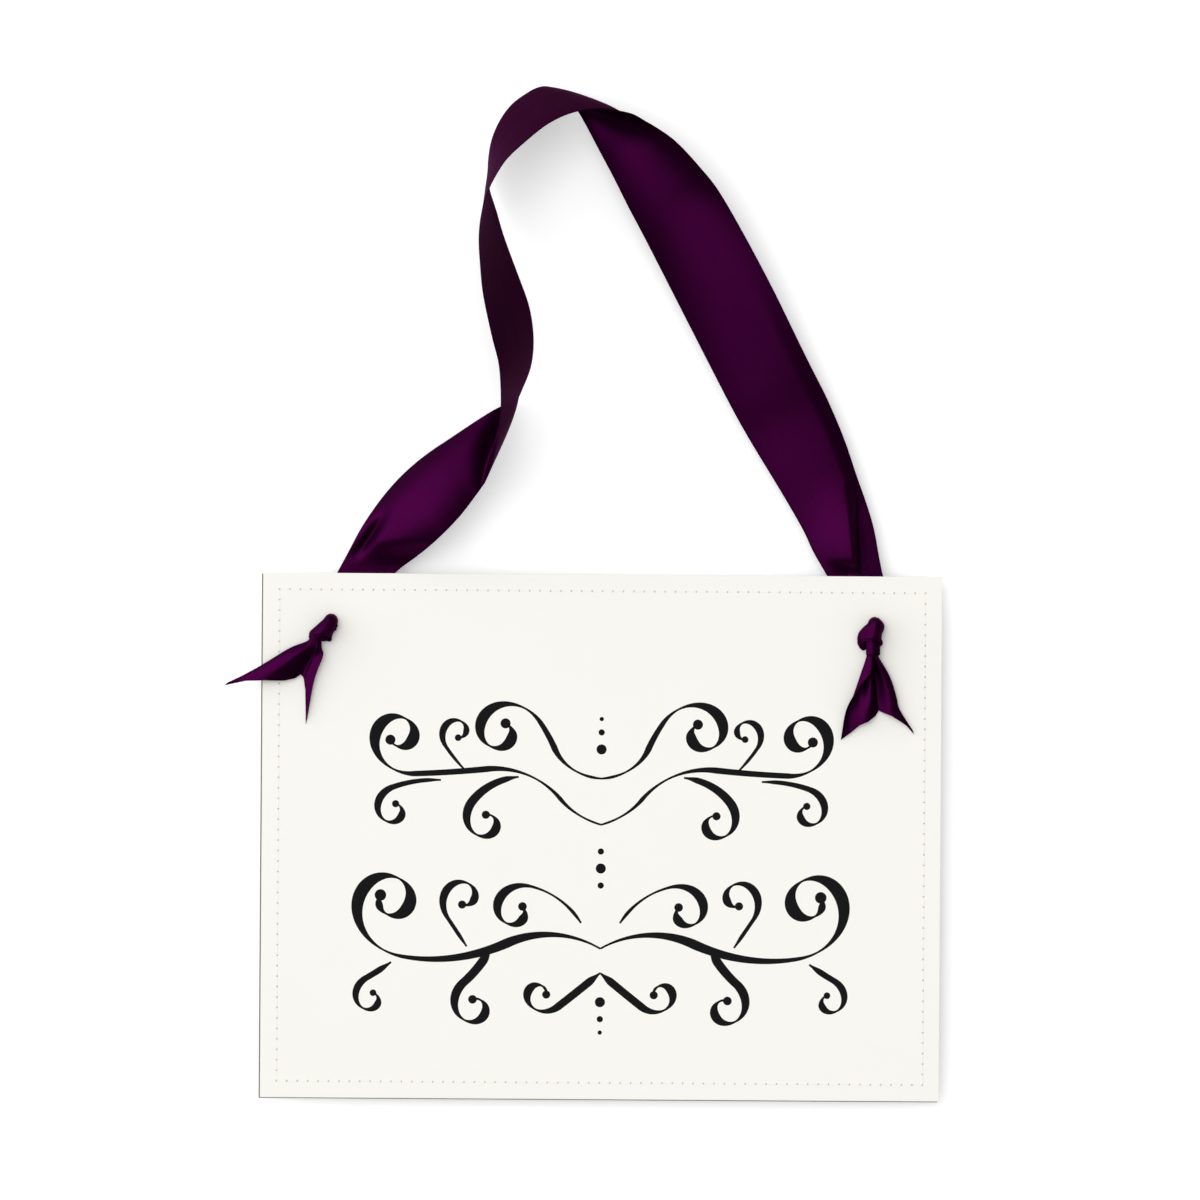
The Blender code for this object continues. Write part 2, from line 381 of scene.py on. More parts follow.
def thicken(obj: bpy.types.Object, thickness: float) -> None:
    """Gives an open surface its thickness, half to each side.

    Args:
        obj: the surface.
        thickness: its thickness in metres.
    """
    solid = obj.modifiers.new("Thickness", "SOLIDIFY")
    solid.thickness = thickness
    solid.offset = 0.0
    apply_all(obj)


# ---------------------------------------------------------------- finishes


class Bench:
    """A bench for wiring nodes."""

    def __init__(self, tree: bpy.types.NodeTree) -> None:
        """Starts on a material's or a world's nodes."""
        self.tree = tree

    def node(
        self, kind: str, inputs: dict[str | int, object] | None = None, **settings: object
    ) -> bpy.types.Node:
        """Adds a node.

        Args:
            kind: the node's type, without its ShaderNode prefix.
            inputs: values or output sockets for its inputs, by socket name or number.
            settings: the node's own properties.

        Returns:
            The node.
        """
        made = self.tree.nodes.new("ShaderNode" + kind)
        for key, value in settings.items():
            setattr(made, key, value)
        for key, value in (inputs or {}).items():
            if isinstance(value, bpy.types.NodeSocket):
                self.tree.links.new(value, made.inputs[key])
            else:
                made.inputs[key].default_value = value
        return made

    def maths(self, operation: str, *values: object) -> bpy.types.NodeSocket:
        """Adds a Math node and returns its output."""
        return self.node("Math", dict(enumerate(values)), operation=operation).outputs[0]

    def mix(self, share: object, first: object, second: object) -> bpy.types.NodeSocket:
        """Mixes two colours and returns the result."""
        inputs = {SHARE: share, COLOUR_A: first, COLOUR_B: second}
        return self.node("Mix", inputs, data_type="RGBA").outputs[COLOUR_OUT]

    def noise(
        self, place: object, scale: float, detail: float, roughness: float = 0.5
    ) -> bpy.types.NodeSocket:
        """Adds a Noise Texture node and returns its output."""
        inputs = {"Vector": place, "Scale": scale, "Detail": detail, "Roughness": roughness}
        return self.node("TexNoise", inputs).outputs["Fac"]


class Desk(Bench):
    """A bench for one material with a Principled shader."""

    def __init__(self, name: str) -> None:
        """Starts the material.

        Args:
            name: the material's name.
        """
        self.material = bpy.data.materials.new(name)
        self.material.use_nodes = True
        super().__init__(self.material.node_tree)
        self.shader = self.tree.nodes["Principled BSDF"]

    def link(self, output: bpy.types.NodeSocket, name: str) -> None:
        """Feeds an output into one of the shader's sockets."""
        self.tree.links.new(output, self.shader.inputs[name])

    def set_values(self, **values: object) -> None:
        """Sets the shader's plain values, by socket name with underscores for spaces."""
        for key, value in values.items():
            self.shader.inputs[key.replace("_", " ")].default_value = value

    def bump(self, height: object, relief: tuple[float, float]) -> bpy.types.NodeSocket:
        """Adds a Bump node, whose relief is its distance and strength, and returns its normal."""
        inputs = {"Height": height, "Distance": relief[0], "Strength": relief[1]}
        return self.node("Bump", inputs).outputs[0]


@dataclass(frozen=True)
class CardStock:
    """Uncoated off-white card: matt, faintly warm, with a fine tooth.

    tooth and mottle each hold a noise's scale and detail. A relief is a bump's distance in metres
    and its strength. Painted shade: the needle's dimples, where the face lies lower by
    shaded_below, are painted tan, and the back card's margins that stick out are painted dark.
    """

    colour: Colour = (0.905, 0.893, 0.845, 1.0)
    shade: Colour = (0.880, 0.866, 0.812, 1.0)
    roughness: float = 0.78
    shine: float = 0.25
    tooth: tuple[float, float] = (2600.0, 3.0)
    tooth_rough: float = 0.65
    tooth_relief: tuple[float, float] = (0.00003, 0.55)
    mottle: tuple[float, float] = (38.0, 4.0)
    mottle_share: float = 0.45
    # Painted shade: a dark tone for the back card's margins that stick out beyond the front card.
    gap_shade: Colour = (0.17, 0.155, 0.135, 1.0)
    # Painted shade: a tan tone for the needle's dimples.
    dimple_shade: Colour = (0.56, 0.47, 0.36, 1.0)
    shaded_below: float = 0.00006

    def build(self, name: str, gap_shaded: bool = False) -> bpy.types.Material:
        """Mixes the card's finish.

        Args:
            name: the material's name.
            gap_shaded: True where the left and bottom margins that stick out get a painted dark
                shade, the shade of the gap under the front card, and False where the needle's
                dimples get painted tan shade.

        Returns:
            The material.
        """
        desk = Desk(name)
        place = desk.node("TexCoord").outputs["Object"]
        mottle = desk.noise(place, *self.mottle)
        fibre = desk.noise(place, *self.tooth, self.tooth_rough)
        share = desk.maths("MULTIPLY", mottle, self.mottle_share)
        card = desk.mix(share, self.colour, self.shade)
        x, y, z = desk.node("SeparateXYZ", {"Vector": place}).outputs
        # Painted shade: the back card's left and bottom margins, outside the front card, are
        # painted dark.
        if gap_shaded:
            left = desk.maths("LESS_THAN", x, -SIZES.card_w / 2)
            low = desk.maths("LESS_THAN", y, 0.0)
            card = desk.mix(desk.maths("MAXIMUM", left, low), card, self.gap_shade)
        else:
            off_middle = desk.maths("SUBTRACT", y, SIZES.card_h / 2)
            margin = SIZES.seam_inset / 2
            from_side = desk.maths("ABSOLUTE", x)
            from_middle = desk.maths("ABSOLUTE", off_middle)
            across = desk.maths("LESS_THAN", from_side, SIZES.card_w / 2 - margin)
            along = desk.maths("LESS_THAN", from_middle, SIZES.card_h / 2 - margin)
            # Painted shade: the needle's dimples are painted tan.
            sunk = desk.maths("LESS_THAN", z, SIZES.front_z - self.shaded_below)
            inside = desk.maths("MULTIPLY", across, along)
            card = desk.mix(desk.maths("MULTIPLY", sunk, inside), card, self.dimple_shade)
        desk.link(card, "Base Color")
        desk.link(desk.bump(fibre, self.tooth_relief), "Normal")
        desk.set_values(Roughness=self.roughness, Specular_IOR_Level=self.shine)
        return desk.material


@dataclass(frozen=True)
class CottonThread:
    """White sewing thread twisted from fine plies, with painted shade in its grooves."""

    colour: Colour = (0.955, 0.945, 0.905, 1.0)
    # Painted shade: the colour of the grooves between the plies.
    groove_shade: Colour = (0.90, 0.885, 0.835, 1.0)
    twist_scale: float = 900.0
    unevenness: float = 0.6
    relief: tuple[float, float] = (0.00004, 0.7)
    roughness: float = 0.7

    def build(self) -> bpy.types.Material:
        """Mixes the thread's finish.

        Returns:
            The material.
        """
        desk = Desk("sewing_thread_finish")
        place = desk.node("TexCoord").outputs["Object"]
        twist = desk.node(
            "TexWave",
            {"Vector": place, "Scale": self.twist_scale, "Distortion": self.unevenness},
            wave_type="BANDS",
            bands_direction="DIAGONAL",
        )
        # Painted shade: the grooves of the twist are painted darker.
        desk.link(desk.mix(twist.outputs["Fac"], self.groove_shade, self.colour), "Base Color")
        desk.link(desk.bump(twist.outputs["Fac"], self.relief), "Normal")
        desk.set_values(Roughness=self.roughness)
        return desk.material


@dataclass(frozen=True)
class PrintInk:
    """Black ink that stands a hair proud of the card."""

    colour: Colour = (0.0045, 0.0045, 0.0055, 1.0)
    worn: Colour = (0.011, 0.011, 0.012, 1.0)
    grain: tuple[float, float] = (1500.0, 3.0)
    relief: tuple[float, float] = (0.00002, 0.4)
    roughness: float = 0.62
    shine: float = 0.04

    def build(self) -> bpy.types.Material:
        """Mixes the ink's finish.

        Returns:
            The material.
        """
        desk = Desk("print_ink_finish")
        place = desk.node("TexCoord").outputs["Object"]
        grain = desk.noise(place, *self.grain)
        desk.link(desk.mix(grain, self.colour, self.worn), "Base Color")
        desk.link(desk.bump(grain, self.relief), "Normal")
        desk.set_values(Roughness=self.roughness, Specular_IOR_Level=self.shine)
        return desk.material


@dataclass(frozen=True)
class PlumSatin:
    """Double-faced plum satin: long fine floats along the ribbon, a woven edge and a tinted sheen.

    streak and crush each hold a noise's grains in a metre across the cloth and along it, and how
    many finer layers it has. Each relief is a bump's distance in metres and its strength.
    """

    colour: Colour = (0.040, 0.0009, 0.0315, 1.0)
    deep: Colour = (0.023, 0.0005, 0.018, 1.0)
    gleam: Colour = (0.55, 0.05, 0.46, 1.0)
    lustre: float = 0.86
    shine: float = 0.1
    grain_pull: float = 0.35
    roughness: float = 0.41
    rough_spread: float = 0.12
    float_pitch: float = 0.00016
    float_share: float = 0.4
    edge_w: float = 0.0009
    edge_deep: float = 0.5
    streak: tuple[float, float, float] = (2600.0, 130.0, 4.0)
    streak_tone: tuple[float, float] = (0.7, 0.1)
    crush: tuple[float, float, float] = (90.0, 26.0, 2.0)
    weave_relief: tuple[float, float] = (0.00002, 0.35)
    crush_relief: tuple[float, float] = (0.0006, 0.3)

    def build(self) -> bpy.types.Material:
        """Mixes the satin's finish, which follows the cloth's UV map in metres.

        Returns:
            The material.
        """
        desk = Desk("plum_satin_finish")
        cloth = desk.node("UVMap").outputs["UV"]
        across, along, _ = desk.node("SeparateXYZ", {"Vector": cloth}).outputs

        streak = self.stretched_noise(desk, across, along, self.streak)
        crush = self.stretched_noise(desk, across, along, self.crush)
        floats = desk.maths("SINE", desk.maths("MULTIPLY", across, 2 * math.pi / self.float_pitch))
        rib = desk.maths("MULTIPLY_ADD", floats, 0.5, 0.5)
        from_edge = desk.maths("PINGPONG", across, SIZES.ribbon_w / 2)
        edge = desk.maths("LESS_THAN", from_edge, self.edge_w)

        tone = desk.maths("MULTIPLY_ADD", streak, *self.streak_tone)
        cloth_colour = desk.mix(tone, self.colour, self.deep)
        edge_share = desk.maths("MULTIPLY", edge, self.edge_deep)
        desk.link(desk.mix(edge_share, cloth_colour, self.deep), "Base Color")
        least = self.roughness - self.rough_spread / 2
        rough = desk.maths("MULTIPLY_ADD", streak, self.rough_spread, least)
        desk.link(desk.maths("MULTIPLY_ADD", edge, self.rough_spread, rough), "Roughness")

        ribs = desk.maths("MULTIPLY", rib, self.float_share)
        weave = desk.maths("MULTIPLY_ADD", streak, 1 - self.float_share, ribs)
        distance, strength = self.crush_relief
        broad = desk.node("Bump", {
            "Height": crush, "Distance": distance, "Strength": strength,
            "Normal": desk.bump(weave, self.weave_relief),
        })
        desk.link(broad.outputs[0], "Normal")
        desk.link(desk.node("Tangent", direction_type="UV_MAP").outputs[0], "Tangent")
        desk.set_values(
            Metallic=self.lustre, Anisotropic=self.grain_pull, Specular_IOR_Level=self.shine,
            Specular_Tint=self.gleam,
        )
        return desk.material

    @staticmethod
    def stretched_noise(
        desk: Desk, across: bpy.types.NodeSocket, along: bpy.types.NodeSocket,
        grains: tuple[float, float, float],
    ) -> bpy.types.NodeSocket:
        """Noise that runs long down the cloth.

        Args:
            desk: the material's desk.
            across: metres across the cloth.
            along: metres along the cloth.
            grains: grains in a metre across, grains in a metre along and the finer layers.

        Returns:
            The noise from 0 to 1.
        """
        x = desk.maths("MULTIPLY", across, grains[0])
        y = desk.maths("MULTIPLY", along, grains[1])
        vector = desk.node("CombineXYZ", {"X": x, "Y": y}).outputs[0]
        return desk.noise(vector, 1.0, grains[2])


# ---------------------------------------------------------------- studio


@dataclass
class Studio:
    """Plain studio: the camera straight above the sign, a pale floor and soft light."""

    camera_place: Point = (-0.00106, 0.20548, 2.0)
    roll_degrees: float = 0.38
    lens: float = 145.8
    sensor_w: float = 36.0
    clip: tuple[float, float] = (0.05, 50.0)
    floor_size: float = 9.0
    floor_gap: float = 0.008
    key_place: Point = (-0.24, 0.44, 1.95)
    key_size: float = 1.5
    key_power: float = 15.9
    bright_way: Point = (-0.72, 0.30, 0.63)
    bright_span: tuple[float, float] = (0.50, 0.97)
    dim: float = 0.08
    bright: float = 2.8
    ambient: float = 0.53
    bounce: Colour = (0.60, 0.60, 0.60, 1.0)
    floor_glow: float = 0.22

    def build(self, rest_z: float) -> None:
        """Builds the whole studio.

        Args:
            rest_z: height of the sign's lowest point, which the floor lies a little below.
        """
        self.add_camera()
        self.add_floor(rest_z - self.floor_gap)
        key = self.add_lamp("key_lamp", self.key_place, self.key_size, self.key_power)
        key.visible_glossy = False
        self.add_world()
        bpy.context.scene.view_settings.view_transform = "Standard"

    def add_camera(self) -> None:
        """Adds the camera at the photograph's place and makes it the scene's."""
        data = bpy.data.cameras.new("camera")
        data.sensor_width = self.sensor_w
        data.lens = self.lens
        data.clip_start, data.clip_end = self.clip
        camera = bpy.data.objects.new("camera", data)
        camera.location = self.camera_place
        camera.rotation_euler = (0.0, 0.0, math.radians(self.roll_degrees))
        bpy.context.scene.collection.objects.link(camera)
        bpy.context.scene.camera = camera

    def add_floor(self, floor_z: float) -> None:
        """Adds the floor, which reads as white to the camera and keeps the sign's shadow.

        Args:
            floor_z: height of the floor.
        """
        floor = added(
            bpy.ops.mesh.primitive_plane_add,
            size=self.floor_size, location=(0.0, SIZES.card_h, floor_z),
        )
        floor.name = "floor"
        desk = Desk("floor_finish")
        seen = desk.node("LightPath").outputs["Is Camera Ray"]
        desk.link(desk.mix(seen, self.bounce, WHITE), "Base Color")
        desk.link(desk.maths("MULTIPLY", seen, self.floor_glow), "Emission Strength")
        desk.set_values(Emission_Color=WHITE, Roughness=1.0, Specular_IOR_Level=0.0)
        dress(floor, desk.material)
        floor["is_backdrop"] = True

    def add_lamp(self, name: str, place: Point, size: float, power: float) -> bpy.types.Object:
        """Adds a square area lamp that points at the middle of the sign.

        Args:
            name: the lamp's name.
            place: where it hangs, in metres.
            size: its side in metres.
            power: its power in watts.

        Returns:
            The lamp.
        """
        data = bpy.data.lights.new(name, "AREA")
        data.shape = "SQUARE"
        data.size = size
        data.energy = power
        lamp = bpy.data.objects.new(name, data)
        lamp.location = place
        aim = Vector((0.0, SIZES.card_h, 0.0)) - Vector(place)
        lamp.rotation_euler = aim.to_track_quat("-Z", "Y").to_euler()
        bpy.context.scene.collection.objects.link(lamp)
        return lamp

    def add_world(self) -> None:
        """Sets a world that is white to the camera and lights softly, most from the upper left."""
        world = bpy.data.worlds.new("studio_world")
        bpy.context.scene.world = world
        world.use_nodes = True
        bench = Bench(world.node_tree)
        direction = bench.node("TexCoord").outputs["Generated"]
        facing = bench.node(
            "VectorMath", {0: direction, 1: self.bright_way}, operation="DOT_PRODUCT"
        )
        ceiling = bench.node(
            "MapRange",
            {
                "Value": facing.outputs["Value"],
                "From Min": self.bright_span[0],
                "From Max": self.bright_span[1],
                "To Min": self.dim,
                "To Max": self.bright,
            },
            interpolation_type="SMOOTHSTEP",
        ).outputs[0]
        ray = bench.node("LightPath").outputs
        matt = {SHARE: ray["Is Diffuse Ray"], PLAIN_A: ceiling, PLAIN_B: self.ambient}
        lit = bench.node("Mix", matt).outputs[0]
        seen = bench.node("Mix", {SHARE: ray["Is Camera Ray"], PLAIN_A: lit, PLAIN_B: 1.0})
        background = world.node_tree.nodes["Background"]
        background.inputs["Color"].default_value = WHITE
        world.node_tree.links.new(seen.outputs[0], background.inputs["Strength"])


# ---------------------------------------------------------------- card and seam


@dataclass
class SewnCard:
    """The two sheets of card and the lockstitch seam that joins them.

    stitch_side is a stitch seen from the side, as shares of its length and of its rise.
    """

    finish: bpy.types.Material
    backing: bpy.types.Material
    thread: bpy.types.Material
    edge_round: float = 0.00010
    punch_l: float = 0.006
    back_shift: tuple[float, float] = (-0.00055, -0.00040)
    needle_d: float = 0.00080
    needle_pit: float = 0.00021
    thread_r: float = 0.00010
    stitch_rise: float = 0.00004
    stitch_side: tuple[tuple[float, float], ...] = (
        (0.02, -0.9), (0.05, 0.35), (0.14, 0.92), (0.5, 1.0),
        (0.86, 0.92), (0.95, 0.35), (0.98, -0.9),
    )

    def build(self) -> None:
        """Builds both sheets and both threads."""
        self.sheet("card_front", "front_card", 0.0, (0.0, 0.0), SIZES.front_z)
        self.sheet("card_back", "back_card", SIZES.back_sheet_z, self.back_shift, SIZES.back_z)
        self.seam("seam_needle_thread", "needle_thread", SIZES.front_z, 1.0)
        self.seam("seam_bobbin_thread", "bobbin_thread", SIZES.back_z, -1.0)

    def stations(self) -> list[tuple[float, float, float]]:
        """Where the needle goes through.

        Returns:
            For each stitch in turn, its starting x and y and its heading in radians.
        """
        half_w = SIZES.card_w / 2 - SIZES.seam_inset
        low, high = SIZES.seam_inset, SIZES.card_h - SIZES.seam_inset
        corners = [(-half_w, low), (half_w, low), (half_w, high), (-half_w, high)]
        found = []
        for start, stop in zip(corners, corners[1:] + corners[:1]):
            run = Vector(stop) - Vector(start)
            count = round(run.length / SIZES.stitch)
            heading = math.atan2(run.y, run.x)
            found += [(*(Vector(start) + run * (i / count)), heading) for i in range(count)]
        return found

    def needle_holes(self, z_face: float) -> bpy.types.Object:
        """Makes one cutter with a pin for the dimple that the needle leaves at each stitch.

        Args:
            z_face: height of the face that the dimples are in.

        Returns:
            The pins as one mesh.
        """
        pin = added(
            bpy.ops.mesh.primitive_cylinder_add,
            vertices=8, radius=self.needle_d / 2, depth=2 * self.needle_pit,
        )
        pins = [copy_to(pin, Matrix.Translation((x, y, z_face))) for x, y, _ in self.stations()]
        bpy.data.objects.remove(pin)
        return join(pins, "needle_pins")

    def punch(self) -> bpy.types.Object:
        """Makes one cutter for the two ribbon holes.

        Returns:
            Both rods as one mesh.
        """
        rods = [
            added(
                bpy.ops.mesh.primitive_cylinder_add,
                vertices=64, radius=SIZES.hole_d / 2, depth=self.punch_l,
                location=(side.value * SIZES.hole_x, SIZES.hole_y, 0.0),
            )
            for side in Side
        ]
        return join(rods, "ribbon_punch")

    def sheet(
        self, name: str, node: str, z_middle: float, shift: tuple[float, float], z_face: float
    ) -> None:
        """Builds one sheet of card.

        Args:
            name: the piece's name.
            node: the CAD node that it stands for.
            z_middle: height of the middle of its thickness.
            shift: how far it lies off the front card, right and up.
            z_face: height of the face that the needle marks.
        """
        card = added(
            bpy.ops.mesh.primitive_cube_add,
            size=1.0, location=(shift[0], SIZES.card_h / 2 + shift[1], z_middle),
        )
        card.name = card.data.name = name
        card.scale = (SIZES.card_w, SIZES.card_h, SIZES.sheet_t)
        apply_all(card)
        bevel = card.modifiers.new("Cut edge", "BEVEL")
        bevel.width = self.edge_round
        bevel.segments = 3
        apply_all(card)
        for tool in (self.punch(), self.needle_holes(z_face)):
            cut = card.modifiers.new("Hole", "BOOLEAN")
            cut.object = tool
            cut.operation = "DIFFERENCE"
            cut.solver = "EXACT"
            apply_all(card)
            bpy.data.objects.remove(tool)
        smooth_by_angle(card, CARD_CREASE)
        self.flatten_faces(card)
        dress(card, self.finish if z_face > 0 else self.backing)
        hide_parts(node)
        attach(card, "card")
        report(card)

    @staticmethod
    def flatten_faces(card: bpy.types.Object) -> None:
        """Keeps the two broad faces of a sheet flat in their shading.

        Args:
            card: the sheet.
        """
        level = 0.99
        for face in card.data.polygons:
            face.use_smooth = abs(face.normal.z) < level

    def one_stitch(self, z_face: float, out: float) -> bpy.types.Object:
        """Builds one stitch from the needle hole at the origin to the next along +X.

        Args:
            z_face: height of the face that it lies on.
            out: 1 where the face looks up and -1 where it looks down.

        Returns:
            The stitch as a mesh.
        """
        places = [
            (share * SIZES.stitch, 0.0, z_face + out * height * self.stitch_rise)
            for share, height in self.stitch_side
        ]
        return bead(places, [1.0] * len(places), self.thread_r, 1, "MINIMUM")

    def seam(self, name: str, node: str, z_face: float, out: float) -> None:
        """Lays one thread of the seam, stitch by stitch.

        Args:
            name: the piece's name.
            node: the CAD node that it stands for.
            z_face: height of the face that it lies on.
            out: 1 where the face looks up and -1 where it looks down.
        """
        first = self.one_stitch(z_face, out)
        copies = [
            copy_to(first, Matrix.Translation((x, y, 0.0)) @ Matrix.Rotation(heading, 4, "Z"))
            for x, y, heading in self.stations()
        ]
        bpy.data.objects.remove(first)
        thread = join(copies, name)
        apply_all(thread)
        smooth_by_angle(thread, CREASE)
        dress(thread, self.thread)
        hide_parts(node)
        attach(thread, "card")
        report(thread)


# ---------------------------------------------------------------- printed ornament


@dataclass(frozen=True)
class Curl:
    """One pen stroke: a start in millimetres, a heading in degrees and how it bends.

    Each leg is a length in millimetres, the turn in degrees that it makes and how fast that turn
    tightens on the way. thick and thin are half widths, and ball is the radius of the drop at its
    end. pen_degrees is the way that the pen's tip lies, and contrast how quickly it thickens.
    """

    start: tuple[float, float]
    heading: float
    legs: tuple[tuple[float, float, float], ...]
    thick: float
    ball: float
    thin: float = 0.42
    step: float = 0.5
    taper: float = 6.0
    pen_degrees: float = 28.0
    contrast: float = 1.5

    def path(self) -> tuple[np.ndarray, np.ndarray]:
        """Runs the pen.

        Returns:
            The points in millimetres and the half width of the stroke at each.
        """
        lengths, turns = [], []
        for length, turn, tightening in self.legs:
            count = max(4, round(length / self.step))
            weights = np.exp(tightening * (np.arange(count) + 0.5) / count)
            lengths.append(np.full(count, length / count))
            turns.append(math.radians(turn) * weights / weights.sum())
        run, bend = np.concatenate(lengths), np.concatenate(turns)
        heading = math.radians(self.heading) + np.concatenate([[0.0], np.cumsum(bend)])
        middle = (heading[1:] + heading[:-1]) / 2
        moves = run[:, None] * np.stack([np.cos(middle), np.sin(middle)], axis=1)
        points = np.vstack([[self.start], np.array(self.start) + np.cumsum(moves, axis=0)])
        along = np.concatenate([[0.0], np.cumsum(run)])
        press = np.abs(np.sin(heading - math.radians(self.pen_degrees))) ** self.contrast
        ends = smoothstep(along, 0.0, self.taper) * smoothstep(along[-1] - along, 0.0, self.taper)
        return points, self.thin + (self.thick - self.thin) * press * ends


@dataclass
class Ornament:
    """Black pen scrollwork on the face, the same on the left as on the right."""

    ink: bpy.types.Material
    rise: float = 0.00003

    def strokes(self) -> list[Curl]:
        """Lists the right half's strokes, the upper row first.

        Returns:
            The strokes.
        """
        return [
            Curl((0.0, 132.0), 4.0, ((24, 62, 0.5), (12, -10, 0.0), (60, -392, 1.5)), 2.3, 2.1),
            Curl(
                (0.0, 113.0), 16.0,
                ((20, 34, 0.4), (34, -56, 0.0), (30, 4, 0.0), (64, 430, 1.5)), 2.5, 2.1,
            ),
            Curl((34.0, 132.5), -6.0, ((22, -46, 0.3), (34, -320, 1.3)), 1.9, 1.7),
            Curl((66.0, 131.0), 2.0, ((20, -22, 0.2), (32, -330, 1.3)), 1.6, 1.5),
            Curl((56.5, 135.5), 46.0, ((12, 10, 0.2), (26, 310, 1.2)), 1.5, 1.4),
            Curl((0.0, 62.0), 30.0, ((40, -54, 0.0), (44, 34, 0.2), (88, 470, 1.7)), 2.7, 2.4),
            Curl((8.0, 72.5), 58.0, ((26, -44, 0.0), (40, -325, 1.3)), 2.0, 1.8),
            Curl((45.0, 62.0), -62.0, ((18, 20, 0.0), (38, -340, 1.3)), 1.9, 1.8),
            Curl((55.0, 62.6), 56.0, ((14, 0, 0.0), (36, 325, 1.3)), 1.7, 1.7),
            Curl((86.0, 56.0), -36.0, ((12, 6, 0.0), (28, -315, 1.3)), 1.5, 1.4),
            Curl((0.0, 52.0), -40.0, ((22, 2, 0.0), (30, 320, 1.3)), 1.8, 1.7),
        ]

    def drops(self) -> list[tuple[float, float, float]]:
        """Lists the drops down the middle.

        Returns:
            Each drop's x, y and radius in millimetres.
        """
        return [
            (0.0, 144.0, 2.1), (0.0, 151.0, 1.3), (0.0, 156.5, 0.9),
            (0.0, 102.0, 1.3), (0.0, 95.0, 2.1), (0.0, 88.0, 1.3),
            (0.0, 40.0, 2.1), (0.0, 33.0, 1.3), (0.0, 27.5, 0.9),
        ]

    def stroke(self, curl: Curl, mirror: float) -> bpy.types.Object:
        """Lays one stroke as a flattened bead of ink.

        Args:
            curl: the stroke.
            mirror: 1 on the right and -1 on the left.

        Returns:
            The stroke as a mesh.
        """
        points, widths = curl.path()
        line = bead([(mirror * x * MM, y * MM, 0.0) for x, y in points], widths, MM, 2, "Z_UP")
        line.scale.z = self.rise / MM
        line.location.z = SIZES.front_z + self.rise / 4
        apply_all(line)
        return line

    def dot(self, x: float, y: float, radius: float) -> bpy.types.Object:
        """Lays one flat round dot of ink.

        Args:
            x: its x in millimetres.
            y: its y in millimetres.
            radius: its radius in millimetres.

        Returns:
            The dot as a mesh.
        """
        drop = added(
            bpy.ops.mesh.primitive_uv_sphere_add,
            segments=20, ring_count=8, radius=radius * MM,
            location=(x * MM, y * MM, SIZES.front_z),
        )
        drop.scale.z = self.rise / (radius * MM)
        apply_all(drop)
        return drop

    def build(self) -> None:
        """Builds the ornament as one piece."""
        marks = [self.dot(*drop) for drop in self.drops()]
        for curl in self.strokes():
            end_x, end_y = curl.path()[0][-1]
            for side in Side:
                marks.append(self.stroke(curl, side.value))
                marks.append(self.dot(side.value * end_x, end_y, curl.ball))
        piece = join(marks, "printed_ornament")
        smooth_by_angle(piece, CREASE)
        dress(piece, self.ink)
        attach(piece, "card")
        report(piece)


# ---------------------------------------------------------------- ribbon


@dataclass(frozen=True)
class Station:
    """One line across the hanging ribbon.

    across and up place its foot, as shares of half the span between the holes and of the loop's
    reach above the card's top edge. heading and lean give the line's direction in degrees and
    breadth its length in ribbon widths. The rest is in millimetres: how far the cloth bows off the
    line, how far it humps before its far edge, how high its foot stands and how its middle swells.
    """

    across: float
    up: float
    heading: float
    lean: float
    breadth: float
    bow: float = 0.0
    hump: float = 0.0
    lift: float = 0.0
    swell: Point = (0.0, 0.0, 0.0)

    def ends(self) -> tuple[np.ndarray, np.ndarray]:
        """Places the line.

        Returns:
            Its foot and its other end, in metres.
        """
        foot = np.array([
            self.across * SIZES.hole_x,
            SIZES.card_h + self.up * SIZES.loop_reach,
            SIZES.rest_z + SIZES.ribbon_t / 2 + self.lift * MM,
        ])
        heading, lean = math.radians(self.heading), math.radians(self.lean)
        line = np.array([
            math.cos(lean) * math.cos(heading),
            math.cos(lean) * math.sin(heading),
            math.sin(lean),
        ])
        return foot, foot + line * self.breadth * SIZES.ribbon_w


